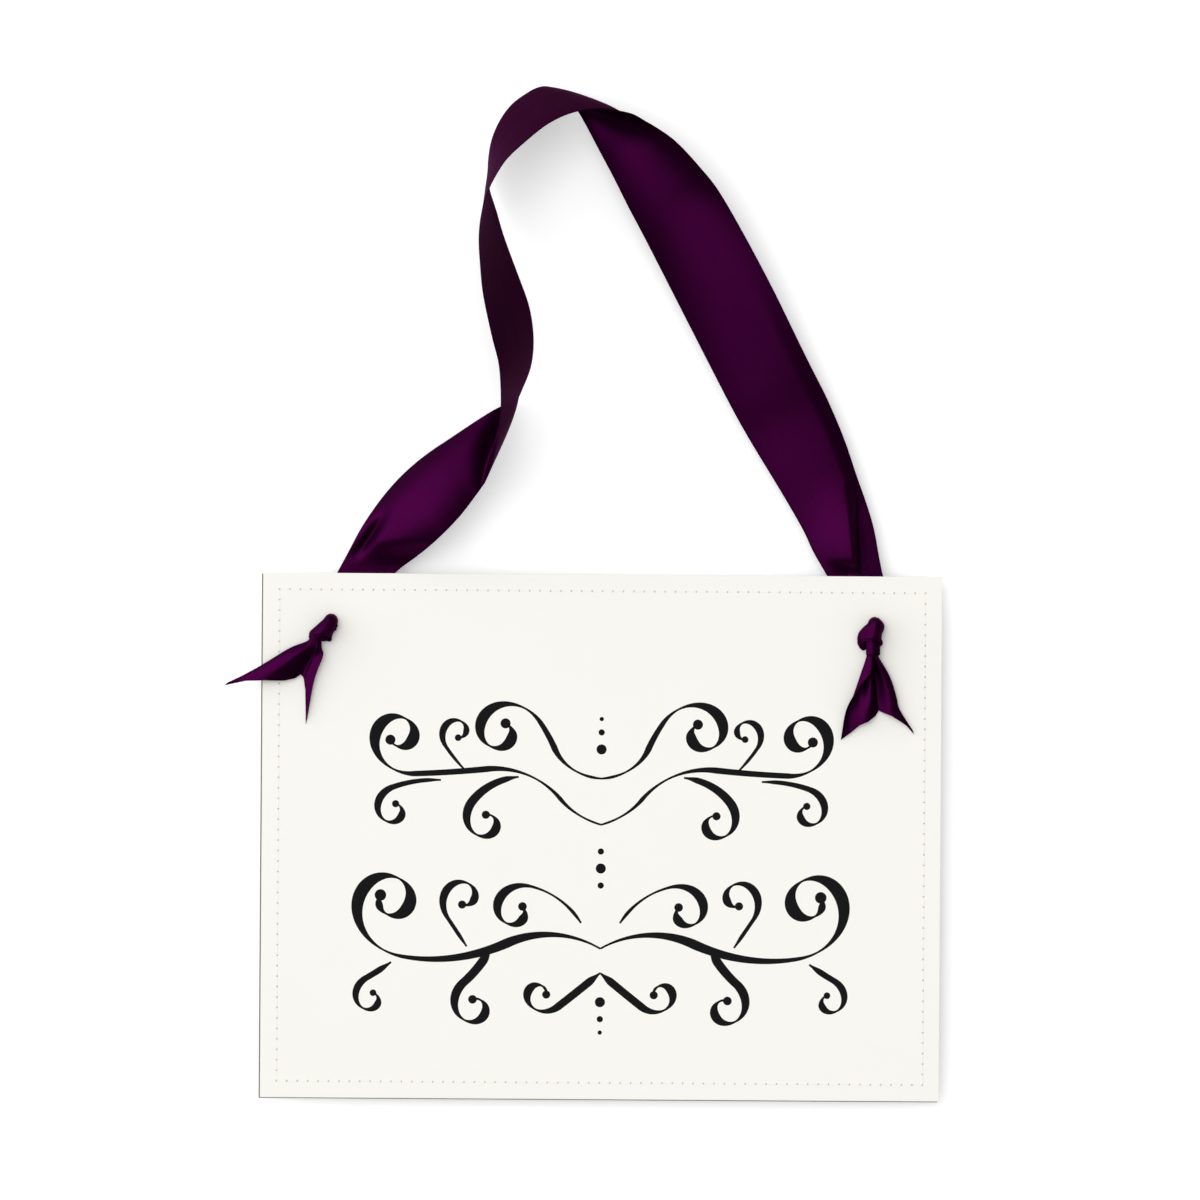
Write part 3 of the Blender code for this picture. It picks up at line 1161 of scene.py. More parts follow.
ROUTE = [
    Station(0.8505, -0.0245, 18, 0, 0.556, hump=2.5),
    Station(0.8245, 0.0035, 20, 0, 0.604, hump=6.0),
    Station(0.774, 0.0515, 20, 0, 0.705, hump=6.8),
    Station(0.745, 0.0875, 25, 0, 0.739, hump=5.2),
    Station(0.686, 0.145, 27, 2, 0.800, 0.2, 2.8),
    Station(0.622, 0.204, 27, 2, 0.878, 0.3, 2.6),
    Station(0.536, 0.282, 27.5, 3, 0.948, 0.4, 2.0),
    Station(0.455, 0.362, 27.5, 4, 0.966, 0.0, 1.6, lift=1.5),
    Station(0.298, 0.5295, 27, 8, 0.983, -2.2, 0.8, lift=4.0),
    Station(0.149, 0.6895, 28.5, 14, 0.961, -4.4, lift=5.8),
    Station(0.086, 0.7545, 28, 19, 0.915, -5.0, lift=6.0),
    Station(0.026, 0.821, 26, 25, 0.833, -5.0, lift=5.6),
    Station(-0.026, 0.874, 18, 27, 0.735, -5.0, lift=5.6),
    Station(-0.072, 0.923, 1, 35, 0.768, -3.2, lift=4.0),
    Station(-0.117, 0.966, -14, 45, 0.930, 0.0, lift=1.8),
    Station(-0.176, 0.9975, -25, 50, 1.11, 1.5),
    Station(-0.221, 1.0065, -28, 51, 1.10, 1.2),
    Station(-0.260, 1.0015, -30, 54, 1.07, 1.0),
    Station(-0.302, 0.987, -32, 58, 1.04, 0.8),
    Station(-0.349, 0.967, -38, 61, 1.01, 0.6),
    Station(-0.393, 0.932, -45, 65, 1.00, 0.3),
    Station(-0.423, 0.89, -54, 71, 1.00),
    Station(-0.434, 0.8395, -57, 78, 1.00, swell=(-0.8, 0.0, 0.0)),
    Station(-0.430, 0.796, -68, 85, 1.00, swell=(-1.6, 0.0, 0.0)),
    Station(-0.403, 0.751, -144, 81, 1.00, swell=(-1.6, 0.0, 0.0)),
    Station(-0.377, 0.701, -155, 75, 1.00, -0.4, swell=(-0.5, 0.0, 0.0)),
    Station(-0.344, 0.651, -157, 70, 1.00, -0.8),
    Station(-0.310, 0.6015, -160, 65.5, 1.00, -1.0),
    Station(-0.276, 0.5475, -166, 63, 1.00, -0.4),
    Station(-0.261, 0.484, -171, 65, 1.00, 0.6),
    Station(-0.270, 0.427, -178, 71, 1.00, 1.0),
    Station(-0.303, 0.38, -180, 78, 1.00, 0.3),
    Station(-0.309, 0.371, -146, 77.5, 1.02),
    Station(-0.3133, 0.3665, -120, 70.1, 1.050, swell=(1.9, 0.5, 0.0)),
    Station(-0.3196, 0.3630, -111.1, 61.9, 1.101, swell=(2.2, 0.5, -1.0)),
    Station(-0.3259, 0.3600, -108.1, 54, 1.150, swell=(2.0, 0.3, -3.0)),
    Station(-0.3348, 0.3560, -106.1, 46, 1.187, swell=(1.2, 0.0, -6.0)),
    Station(-0.3688, 0.3480, -101.4, 39.1, 1.042, swell=(0.2, 0.0, -8.0)),
    Station(-0.4047, 0.3385, -96.2, 22.0, 0.865, lift=1.0, swell=(0.0, 0.0, -1.0)),
    Station(-0.4781, 0.3115, -85.4, 23.0, 0.825, 2.6, lift=2.0),
    Station(-0.5658, 0.2780, -72, 24, 0.810, 4.2, lift=2.0),
    Station(-0.6580, 0.2430, -59.4, 25, 0.847, 5.2, lift=1.5),
    Station(-0.7449, 0.2005, -50.9, 25, 0.858, 5.8, lift=1.0),
    Station(-0.8201, 0.1520, -42.5, 21, 0.790, 5.6, lift=0.5),
    Station(-0.8863, 0.0970, -33.6, 14, 0.669, 4.6),
    Station(-0.9150, 0.0680, -30.3, 7, 0.587, 4.0),
    Station(-0.9794, 0.0005, -17.1, 0, 0.491, 0.8),
    Station(-1.0116, -0.0345, -12, 0, 0.375),
]


@dataclass(frozen=True)
class LegFold:
    """The flat fold down the right leg: the cloth doubles back under itself and comes out lower.

    Its crease runs from top to foot, each an x and a y in metres. It lies only right of beyond_x
    and starts a little above its top. tuck is the hidden cloth's width, step how far it lies lower,
    and near how close to the crease the cloth starts to sink. From its top the fold opens by
    opening, a power, and sinks sinking times as fast as it opens. under is the far edge's share of
    the step.
    """

    top: tuple[float, float] = (0.1040, 0.2560)
    foot: tuple[float, float] = (0.1063, 0.2169)
    tuck: float = 0.0065
    step: float = 0.0009
    near: float = 0.006
    beyond_x: float = 0.09
    above: float = 0.004
    widest: float = 0.995
    opening: float = 0.7
    sinking: float = 6.0
    under: float = 0.9

    def crease_x(self, y: np.ndarray) -> np.ndarray:
        """Where the crease is at a height."""
        share = (y - self.foot[1]) / (self.top[1] - self.foot[1])
        return self.foot[0] + (self.top[0] - self.foot[0]) * share

    def lay(self, feet: np.ndarray, tops: np.ndarray, share: np.ndarray) -> tuple[np.ndarray, ...]:
        """Lays the fold across rows of cloth.

        Args:
            feet: each row's left end.
            tops: each row's right end.
            share: the columns' shares of the cloth.

        Returns:
            Each point's share of its row's line, its lift off it in metres, and its share of the
            way to the crease, or to the far edge where there is no fold.
        """
        width = np.linalg.norm(tops[:, :2] - feet[:, :2], axis=1)
        slope = (tops[:, 1] - feet[:, 1]) / np.maximum(tops[:, 0] - feet[:, 0], 1e-6)
        middle_y = (tops[:, 1] + feet[:, 1]) / 2
        x = self.crease_x(middle_y)
        y = feet[:, 1] + slope * (x - feet[:, 0])
        x = self.crease_x(y)
        crease = (x - feet[:, 0]) / (tops[:, 0] - feet[:, 0]) * width
        on = (tops[:, 0] > self.beyond_x) & (middle_y < self.top[1] + self.above)
        grown = smoothstep(-tops[:, 1], -self.top[1], -self.foot[1]) * on
        place = np.repeat(share[None, :], len(feet), axis=0)
        inner = place.copy()
        lift = np.zeros_like(place)
        for row in np.flatnonzero(grown > 0):
            tuck = self.tuck * grown[row] ** self.opening
            at = min(crease[row], width[row] * self.widest)
            marks = np.cumsum([0.0, at, tuck, width[row] - at + tuck])
            down = min(1.0, grown[row] * self.sinking) * self.step
            run = share * marks[-1]
            place[row] = np.interp(run, marks, [0.0, at, at - tuck, width[row]]) / width[row]
            rise = [0.0, down, 0.0, -down * self.under]
            near = smoothstep(run, at - self.near, at)
            lift[row] = np.where(run < at, down * near, np.interp(run, marks, rise))
            inner[row] = np.minimum(run / at, 1.0)
        return place, lift, inner


@dataclass(frozen=True)
class LegDent:
    """The sharp dent beside the left leg's outer edge.

    line runs along its bottom in metres. The cloth outside it stands up by flare over flare_w. The
    dent grows over the first share of the line, fade_share, over the x in fade_x and over the
    heights above the card in fade_y. It lies only left of before_x.
    """

    line: tuple[tuple[float, float], ...] = (
        (-0.0870, 0.2440), (-0.0918, 0.2369), (-0.0957, 0.2310),
        (-0.0997, 0.2250), (-0.1050, 0.2165), (-0.1075, 0.2120),
    )
    depth: float = 0.0034
    half_w: float = 0.0022
    flare: float = 0.0022
    flare_w: float = 0.006
    fade_share: float = 0.35
    fade_x: tuple[float, float] = (-0.14, -0.12)
    fade_y: tuple[float, float] = (0.003, 0.012)
    before_x: float = -0.08

    def press(self, points: np.ndarray) -> np.ndarray:
        """How much each point moves up or down.

        Args:
            points: any array of points in metres.

        Returns:
            The moves on Z in metres.
        """
        line = np.array(self.line)
        flat = points[..., :2].reshape(-1, 2)
        best = np.ones(len(flat))
        side, share = np.zeros(len(flat)), np.zeros(len(flat))
        for i, (start, stop) in enumerate(zip(line, line[1:])):
            run = stop - start
            t = np.clip(((flat - start) @ run) / (run @ run), 0.0, 1.0)
            off = flat - (start + t[:, None] * run)
            distance = np.linalg.norm(off, axis=1)
            nearer = distance < best
            best = np.where(nearer, distance, best)
            side = np.where(nearer, np.sign(run[0] * off[:, 1] - run[1] * off[:, 0]), side)
            share = np.where(nearer, (i + t) / (len(line) - 1), share)
        x, y = flat.T
        window = smoothstep(share, 0.0, self.fade_share) * smoothstep(x, *self.fade_x)
        window *= x < self.before_x
        window *= smoothstep(y, SIZES.card_h + self.fade_y[0], SIZES.card_h + self.fade_y[1])
        groove = -self.depth * np.exp(-((best / self.half_w) ** 2))
        outer = self.flare * smoothstep(best, 0.0, self.flare_w) * (side < 0)
        return ((groove + outer) * window).reshape(points.shape[:-1])


@dataclass
class HangingRibbon:
    """The ribbon from one hole, up behind the card, round the loop and down to the other hole.

    crown is the power that squares its arched section. hump holds the shares of its width where a
    hump starts, is highest and ends. emerge is how far above the card's edge its left and its right
    leg take to lie free. hinge_span is not used. From run_rows on, the values shape the bunched
    stretch behind the card.
    """

    satin: bpy.types.Material
    steps: int = 14
    rows: int = 430
    columns: int = 61
    even: float = 2.2
    crown: float = 2.3
    hump: Point = (-0.12, 0.80, 1.04)
    emerge: tuple[float, float] = (0.014, 0.007)
    edge_gap: float = 0.0004
    hinge_span: tuple[float, float] = (0.0025, 0.0045)
    run_rows: int = 36
    bundle_w: float = 0.0048
    bundle_slack: float = 0.03
    pleats: int = 5
    pleat_h: float = 0.00042
    gathered_by: float = 0.9
    rise_from: float = 0.86
    rise: float = 0.0012
    fold: LegFold = field(default_factory=LegFold)
    dent: LegDent = field(default_factory=LegDent)
    flat_length: float = 0.535

    def ease(self, rows: np.ndarray) -> np.ndarray:
        """Evens out kinks along rows of numbers and keeps both ends.

        Args:
            rows: the rows of numbers.

        Returns:
            As many rows, evened.
        """
        reach = int(4 * self.even)
        weights = np.exp(-0.5 * (np.arange(-reach, reach + 1) / self.even) ** 2)
        weights /= weights.sum()
        before = 2 * rows[0] - rows[reach:0:-1]
        after = 2 * rows[-1] - rows[-2 : -reach - 2 : -1]
        padded = np.vstack([before, rows, after])
        return np.stack([np.convolve(column, weights, "valid") for column in padded.T], axis=1)

    def edges(self) -> tuple[np.ndarray, np.ndarray, np.ndarray]:
        """Runs the route through its stations in rows evenly along it.

        Returns:
            Each line's foot, its other end, and its bow, hump and swell, in metres.
        """
        table = []
        for station in ROUTE:
            foot, top = station.ends()
            forms = (station.bow, station.hump, *station.swell)
            table.append([*foot, *top, *(value * MM for value in forms)])
        dense = spline(table, self.steps)
        moves = np.diff(dense, axis=0)
        step = (np.linalg.norm(moves[:, :3], axis=1) + np.linalg.norm(moves[:, 3:6], axis=1)) / 2
        reached = np.concatenate([[0.0], np.cumsum(step)])
        marks = np.linspace(0.0, reached[-1], self.rows)
        spaced = [np.interp(marks, reached, column) for column in dense.T]
        even = self.ease(np.stack(spaced, axis=1))
        return even[:, :3], even[:, 3:6], even[:, 6:]

    def loop_rows(self) -> np.ndarray:
        """Shapes the loop's cloth.

        Returns:
            Its rows of points, from the right leg over the top to the left one.
        """
        feet, tops, forms = self.edges()
        share = np.linspace(0.0, 1.0, self.columns)
        place, lift, inner = self.fold.lay(feet, tops, share)
        rows = feet[:, None] * (1 - place)[..., None] + tops[:, None] * place[..., None]
        along = np.gradient((feet + tops) / 2, axis=0)
        upward = np.cross(tops - feet, along)
        upward /= np.linalg.norm(upward, axis=1)[:, None]
        upward *= np.where(upward[:, 2] < 0, -1.0, 1.0)[:, None]
        arch = 1 - np.abs(2 * place - 1) ** self.crown
        rows = rows + upward[:, None] * arch[..., None] * forms[:, None, None, 0]
        rows += (4 * place * (1 - place))[..., None] * forms[:, None, 2:5]
        start, peak, stop = self.hump
        hump = smoothstep(inner, start, peak) * (1 - smoothstep(inner, peak, stop))
        rows[..., 2] += hump * forms[:, None, 1] + self.dent.press(rows)
        rise = np.where(rows[..., 0] < 0, *self.emerge)
        free = smoothstep((rows[..., 1] - SIZES.card_h - self.edge_gap) / rise, 0.0, 1.0)
        rows[..., 2] = SIZES.run_z + (rows[..., 2] - SIZES.run_z) * free + lift
        rows[..., 2] = np.maximum(rows[..., 2], SIZES.rest_z + SIZES.ribbon_t / 2)
        return rows

    def build(self) -> None:
        """Builds the ribbon as one sheet of cloth."""
        loop = self.loop_rows()
        right = self.back_run(Side.RIGHT, loop[0])
        left = self.back_run(Side.LEFT, loop[-1])
        points = np.vstack([right[::-1][:-1], loop, left[1:]])
        ribbon = grid_object("ribbon_band", points, cloth_coordinates(points, SIZES.ribbon_w))
        thicken(ribbon, SIZES.ribbon_t)
        smooth_by_angle(ribbon, CREASE)
        dress(ribbon, self.satin)
        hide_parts("ribbon_loop", "ribbon_back_left", "ribbon_back_right")
        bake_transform(ribbon)
        report(ribbon)

    def back_run(self, side: Side, edge: np.ndarray) -> np.ndarray:
        """The stretch behind the card.

        Args:
            side: which hole it runs to.
            edge: the row of points that it starts from.

        Returns:
            Rows of points from behind the card's top edge down into the hole.
        """
        share = np.linspace(0.0, 1.0, self.columns)
        hole = np.array([side.value * SIZES.hole_x, SIZES.hole_y, SIZES.run_z])
        direction = math.copysign(1.0, edge[-1, 0] - edge[0, 0])
        wave = np.sin(2 * np.pi * self.pleats * share)
        slack = self.bundle_slack * np.sin(4 * np.pi * self.pleats * share)
        across = direction * (share - 0.5 + slack) * self.bundle_w
        bunch = np.stack([across, 0 * share, self.pleat_h * wave], axis=1) + hole
        rows = []
        for step in np.linspace(0.0, 1.0, self.run_rows):
            gather = smoothstep(step, 0.0, self.gathered_by)
            shift = (bunch.mean(axis=0) - edge.mean(axis=0)) * (step - gather)
            row = edge * (1 - gather) + bunch * gather
            row[:, :2] += shift[:2]
            row[:, 2] += smoothstep(step, self.rise_from, 1.0) * self.rise
            rows.append(row)
        return np.array(rows)


# ---------------------------------------------------------------- draped cloth


@dataclass(frozen=True)
class Drape:
    """A piece of cloth shaped by a coarse net of points, in millimetres.

    Each row of the net crosses the cloth and the rows follow one another down it. shares place the
    net's columns across the cloth. cut is the cloth's end, as shares across it and rows of the net.
    Each stretch between two of the net's points is drawn in as many parts as steps says.
    """

    net: tuple[tuple[Point, ...], ...]
    shares: tuple[float, ...]
    cut: tuple[tuple[float, float], ...]
    steps: int = 12

    def surface(self, rows: int, columns: int) -> np.ndarray:
        """Draws the smooth cloth.

        Args:
            rows: how many rows of points run down it.
            columns: how many points each row has.

        Returns:
            Rows by columns by 3, in millimetres.
        """
        width = len(self.net[0])
        flat = spline([[value for point in row for value in point] for row in self.net], self.steps)
        fine = np.array([spline(row, self.steps) for row in flat.reshape(len(flat), width, 3)])
        across = np.linspace(0.0, 1.0, columns)
        column = np.interp(across, self.shares, np.arange(width)) * self.steps
        stop = np.interp(across, *zip(*self.cut)) * self.steps
        return np.array([self.sample(fine, v * stop, column) for v in np.linspace(0.0, 1.0, rows)])

    @staticmethod
    def sample(net: np.ndarray, row: np.ndarray, column: np.ndarray) -> np.ndarray:
        """Reads points from a net between its rows and columns.

        Args:
            net: the net's points.
            row: each point's row in the net.
            column: each point's column in the net.

        Returns:
            The points.
        """
        r0 = np.clip(row.astype(int), 0, net.shape[0] - 2)
        c0 = np.clip(column.astype(int), 0, net.shape[1] - 2)
        dr, dc = (row - r0)[:, None], (column - c0)[:, None]
        upper = net[r0, c0] * (1 - dc) + net[r0, c0 + 1] * dc
        lower = net[r0 + 1, c0] * (1 - dc) + net[r0 + 1, c0 + 1] * dc
        return upper * (1 - dr) + lower * dr


def pleat(points: np.ndarray, pleats: float, heights: np.ndarray) -> np.ndarray:
    """Runs pleats down a cloth.

    Args:
        points: rows by columns by 3.
        pleats: how many pleats lie side by side.
        heights: each row's pleat height, in the points' unit.

    Returns:
        The pleated points.
    """
    along = np.gradient(points, axis=0)
    across = np.gradient(points, axis=1)
    normal = np.cross(across, along)
    normal /= np.maximum(np.linalg.norm(normal, axis=2), 1e-9)[..., None]
    wave = np.sin(2 * np.pi * pleats * np.linspace(0.0, 1.0, points.shape[1]))
    return points + normal * wave[None, :, None] * heights[:, None, None]


# ---------------------------------------------------------------- knots


@dataclass(frozen=True)
class Roll:
    """One roll of bunched ribbon in a knot.

    Each stop holds the middle of the roll, the arrow to its side whose length is half its width,
    and half its thickness, all in millimetres from the hole on the printed face. The pleats along
    it are a share of its section deep and turn round it by wind radians in a millimetre. square is
    below 1 where its section is squarer than an ellipse. Its ends close over end_run of the stretch
    between two stops, down to the root of end_size.
    """

    stops: tuple[tuple[Point, Point, float], ...]
    pleats: int = 7
    depth: float = 0.10
    wind: float = 0.05
    pinch: float = 0.7
    steps: int = 10
    ring: int = 56
    square: float = 0.8
    end_run: float = 0.5
    end_size: float = 0.02
    cloth_inset: float = 0.002

    def surface(self) -> tuple[np.ndarray, np.ndarray]:
        """Draws the roll's tube.

        Returns:
            Its grid of points in millimetres, and its cloth coordinates in metres.
        """
        flat = [[*centre, *side, half] for centre, side, half in self.stops]
        rows = spline(flat, self.steps)
        centre, side, half = rows[:, :3], rows[:, 3:6], rows[:, 6]
        along = np.gradient(centre, axis=0)
        over = np.cross(along, side)
        over /= np.linalg.norm(over, axis=1)[:, None]
        angle = np.linspace(0.0, 2 * np.pi, self.ring + 1)
        cosine, sine = np.cos(angle), np.sin(angle)
        wide = np.sign(cosine) * np.abs(cosine) ** self.square
        tall = np.sign(sine) * np.abs(sine) ** self.square
        moves = np.linalg.norm(np.diff(centre, axis=0), axis=1)
        length = np.concatenate([[0.0], np.cumsum(moves)])
        ridge = np.abs(np.sin(self.pleats * angle[None, :] / 2 + self.wind * length[:, None]))
        crimp = 1 - self.depth * (1 - ridge**self.pinch)
        ends = np.minimum(np.arange(len(rows)), np.arange(len(rows))[::-1])
        closing = np.clip(ends / (self.end_run * self.steps), self.end_size, 1.0)
        reach = crimp * np.sqrt(closing)[:, None]
        points = (
            centre[:, None]
            + side[:, None] * (wide * reach)[..., None]
            + over[:, None] * (half[:, None] * tall[None, :] * reach)[..., None]
        )
        girth = 4.0 * np.linalg.norm(side, axis=1).mean()
        across = np.linspace(0.0, girth, self.ring + 1) * MM + self.cloth_inset
        uv = np.stack(np.broadcast_arrays(across[None, :], length[:, None] * MM), axis=-1)
        return points, uv


@dataclass(frozen=True)
class Knot:
    """One knot in front of its hole: a hood of cloth over the bunched rolls that come through.

    The hood's pleats are hood_pleat_h high, in millimetres.
    """

    side: Side
    hood: Drape
    rolls: dict[str, Roll]
    hood_rows: int = 64
    hood_columns: int = 60
    hood_pleats: float = 5.5
    hood_pleat_h: float = 0.06
    hood_t: float = 0.00040

    @property
    def name(self) -> str:
        """The knot's name, which is also its body's."""
        return "knot_" + self.side.word

    @property
    def hole(self) -> np.ndarray:
        """The middle of the knot's hole on the printed face."""
        return np.array([self.side.value * SIZES.hole_x, SIZES.hole_y, SIZES.front_z])

    def build(self, satin: bpy.types.Material) -> None:
        """Builds the knot as one piece.

        Args:
            satin: its finish.
        """
        pieces = [self.drawn_hood()] + [self.tube(name, roll) for name, roll in self.rolls.items()]
        knot = join(pieces, self.name + "_turns")
        smooth_by_angle(knot, KNOT_CREASE)
        dress(knot, satin)
        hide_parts("ribbon_" + self.name)
        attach(knot, self.name)
        report(knot)

    def drawn_hood(self) -> bpy.types.Object:
        """Draws the hood over the rolls.

        Returns:
            The hood, with its thickness.
        """
        points = self.hood.surface(self.hood_rows, self.hood_columns)
        heights = np.full(len(points), self.hood_pleat_h)
        points = pleat(points, self.hood_pleats, heights) * MM + self.hole
        hood = grid_object("hood", points, cloth_coordinates(points, SIZES.ribbon_w))
        thicken(hood, self.hood_t)
        return hood

    def tube(self, name: str, roll: Roll) -> bpy.types.Object:
        """Makes one roll a closed tube at its hole.

        Args:
            name: the roll's name.
            roll: its shape.

        Returns:
            The tube.
        """
        points, uv = roll.surface()
        tube = grid_object(name, points * MM + self.hole, uv)
        take(tube)
        bpy.ops.object.mode_set(mode="EDIT")
        bpy.ops.mesh.select_all(action="SELECT")
        bpy.ops.mesh.remove_doubles(threshold=1e-6)
        bpy.ops.mesh.fill_holes(sides=0)
        bpy.ops.mesh.select_all(action="SELECT")
        bpy.ops.mesh.normals_make_consistent(inside=False)
        bpy.ops.object.mode_set(mode="OBJECT")
        return tube


NECK = Roll((
    ((0.1, 0.2, -1.2), (2.4, 0, 0), 2.2), ((0.1, 0.4, 1.0), (2.4, 0, 0), 2.2),
    ((0.2, 1.0, 3.2), (2.5, 0, 0), 2.2), ((0.2, 1.4, 4.6), (2.2, 0, 0), 1.6),
))
HOOD_SHARES = (0.0, 0.25, 0.5, 0.75, 1.0)
RIGHT_HOOD = Drape((
    ((-1.6, 2.6, 0.8), (-0.7, 3.2, 0.8), (0.3, 3.4, 0.8), (1.6, 3.0, 0.8), (2.6, 2.2, 0.8)),
    ((-2.3, 4.0, 2.0), (-1.2, 5.2, 2.2), (0.3, 5.6, 2.4), (2.0, 4.9, 2.2), (3.7, 3.2, 2.0)),
    ((-2.6, 3.2, 4.0), (-1.2, 4.6, 5.0), (0.4, 5.0, 5.6), (2.3, 4.2, 5.1), (4.0, 1.9, 3.6)),
    ((-4.6, 1.4, 4.0), (-2.3, 2.2, 6.0), (0.3, 2.6, 7.1), (2.4, 1.8, 6.2), (3.8, 0.6, 3.8)),
    ((-6.2, -0.4, 3.2), (-3.5, -0.1, 5.4), (-0.3, 0.2, 7.5), (1.9, -0.3, 6.8), (3.1, -0.9, 4.0)),
    ((-6.8, -2.4, 2.8), (-4.2, -1.9, 4.9), (-0.7, -1.7, 7.4), (1.6, -1.9, 7.0), (2.8, -2.2, 4.4)),
    ((-6.8, -4.2, 2.6), (-4.6, -3.2, 4.5), (-1.2, -3.1, 7.0), (1.4, -3.6, 6.6), (2.85, -3.7, 4.2)),
    ((-6.2, -5.4, 1.8), (-4.6, -3.8, 3.6), (-1.2, -3.6, 5.8), (1.4, -3.8, 5.6), (2.7, -3.6, 3.4)),
), HOOD_SHARES, ((0.0, 7.0), (1.0, 7.0)))
RIGHT_ROLLS = {
    "neck": NECK,
    "collar": Roll((
        ((-0.2, 0.0, 4.2), (2.6, 0, 0), 2.0), ((-0.3, -2.5, 3.8), (2.9, 0, 0), 2.2),
        ((-0.4, -5.0, 3.4), (3.0, 0, 0), 2.5), ((-0.4, -8.0, 3.2), (2.95, 0, 0), 2.6),
        ((-0.5, -11.2, 3.2), (3.0, 0, 0), 2.5),
    ), pleats=5, depth=0.10, square=0.95),
    "bulge": Roll((
        ((1.4, 2.0, 3.0), (0.4, 1.6, 0.2), 1.6), ((-1.6, 1.4, 3.0), (0.6, 1.6, 0.4), 2.0),
        ((-4.0, -0.6, 2.8), (1.6, 1.0, 0.4), 2.0), ((-4.8, -3.2, 2.6), (1.8, -0.2, 0.4), 1.8),
        ((-4.6, -5.0, 2.2), (1.7, -0.8, 0.3), 1.5), ((-3.6, -6.4, 1.6), (0.8, -1.2, 0.2), 1.1),
        ((-1.6, -6.0, 1.0), (-0.2, -1.2, 0.2), 0.8), ((0.6, -5.4, 0.8), (-0.3, -1.0, 0.2), 0.6),
    )),
    "curl": Roll((
        ((-6.3, -3.6, 2.2), (0.5, -0.2, 0.3), 0.6), ((-6.0, -5.4, 2.3), (0.7, -0.3, 0.4), 0.7),
        ((-5.2, -6.7, 2.2), (0.5, -0.6, 0.4), 0.7), ((-4.2, -7.2, 1.9), (0.1, -0.7, 0.3), 0.6),
        ((-3.0, -6.9, 1.4), (-0.2, -0.6, 0.2), 0.5),
    ), pleats=3),
    "lip": Roll((
        ((-5.2, -3.6, 4.0), (0.1, 0.5, 0.2), 0.5), ((-3.8, -3.7, 4.9), (0.1, 0.55, 0.2), 0.55),
        ((-1.8, -3.7, 6.0), (0.1, 0.55, 0.2), 0.55), ((-0.2, -3.9, 6.3), (0.1, 0.4, 0.2), 0.45),
        ((0.8, -3.9, 6.0), (0.1, 0.3, 0.1), 0.3),
    ), pleats=2),
    "knuckle": Roll((
        ((1.9, -3.0, 3.4), (0.8, 0.3, 0.4), 0.6), ((2.7, -4.3, 3.4), (0.6, 0.0, 0.5), 0.7),
        ((2.7, -5.4, 3.0), (0.6, -0.2, 0.4), 0.6), ((1.7, -6.2, 2.2), (0.3, -0.6, 0.3), 0.5),
    ), pleats=3),
}
RIGHT_KNOT = Knot(Side.RIGHT, RIGHT_HOOD, RIGHT_ROLLS)
LEFT_HOOD = Drape((
    ((-1.0, 3.0, 0.8), (-0.3, 3.4, 0.8), (0.4, 3.4, 0.8), (1.2, 3.0, 0.8), (1.8, 2.2, 0.8)),
    ((-2.0, 4.4, 2.0), (-0.9, 5.3, 2.2), (0.3, 5.5, 2.4), (1.8, 5.0, 2.2), (2.8, 3.4, 2.0)),
    ((-2.7, 3.4, 4.0), (-1.4, 4.3, 5.0), (0.0, 4.6, 5.6), (1.6, 4.0, 5.2), (2.9, 2.2, 3.8)),
    ((-4.5, 1.8, 4.0), (-2.9, 2.0, 5.8), (-0.9, 2.4, 6.9), (1.0, 1.8, 6.4), (2.6, 0.6, 4.0)),
    ((-6.5, 0.0, 3.6), (-4.7, 0.0, 5.9), (-2.2, 0.4, 7.4), (0.2, -0.2, 6.9), (1.8, -1.1, 4.2)),
    ((-8.1, -1.4, 3.0), (-6.3, -1.6, 5.6), (-3.4, -1.4, 7.4), (-0.7, -1.9, 7.0), (1.0, -2.5, 4.4)),
    ((-8.7, -2.6, 2.6), (-7.0, -2.8, 5.2), (-4.4, -2.7, 6.9), (-1.8, -3.1, 6.4), (0.6, -3.8, 4.2)),
    ((-8.6, -3.5, 2.0), (-6.9, -3.6, 4.2), (-4.6, -3.5, 5.6), (-2.0, -3.8, 5.0), (0.6, -5.1, 3.4)),
    ((-8.0, -3.6, 1.6), (-6.7, -3.5, 3.4), (-4.6, -3.4, 4.4), (-2.2, -3.8, 3.6), (0.2, -4.9, 2.6)),
), HOOD_SHARES, ((0.0, 8.0), (1.0, 8.0)))
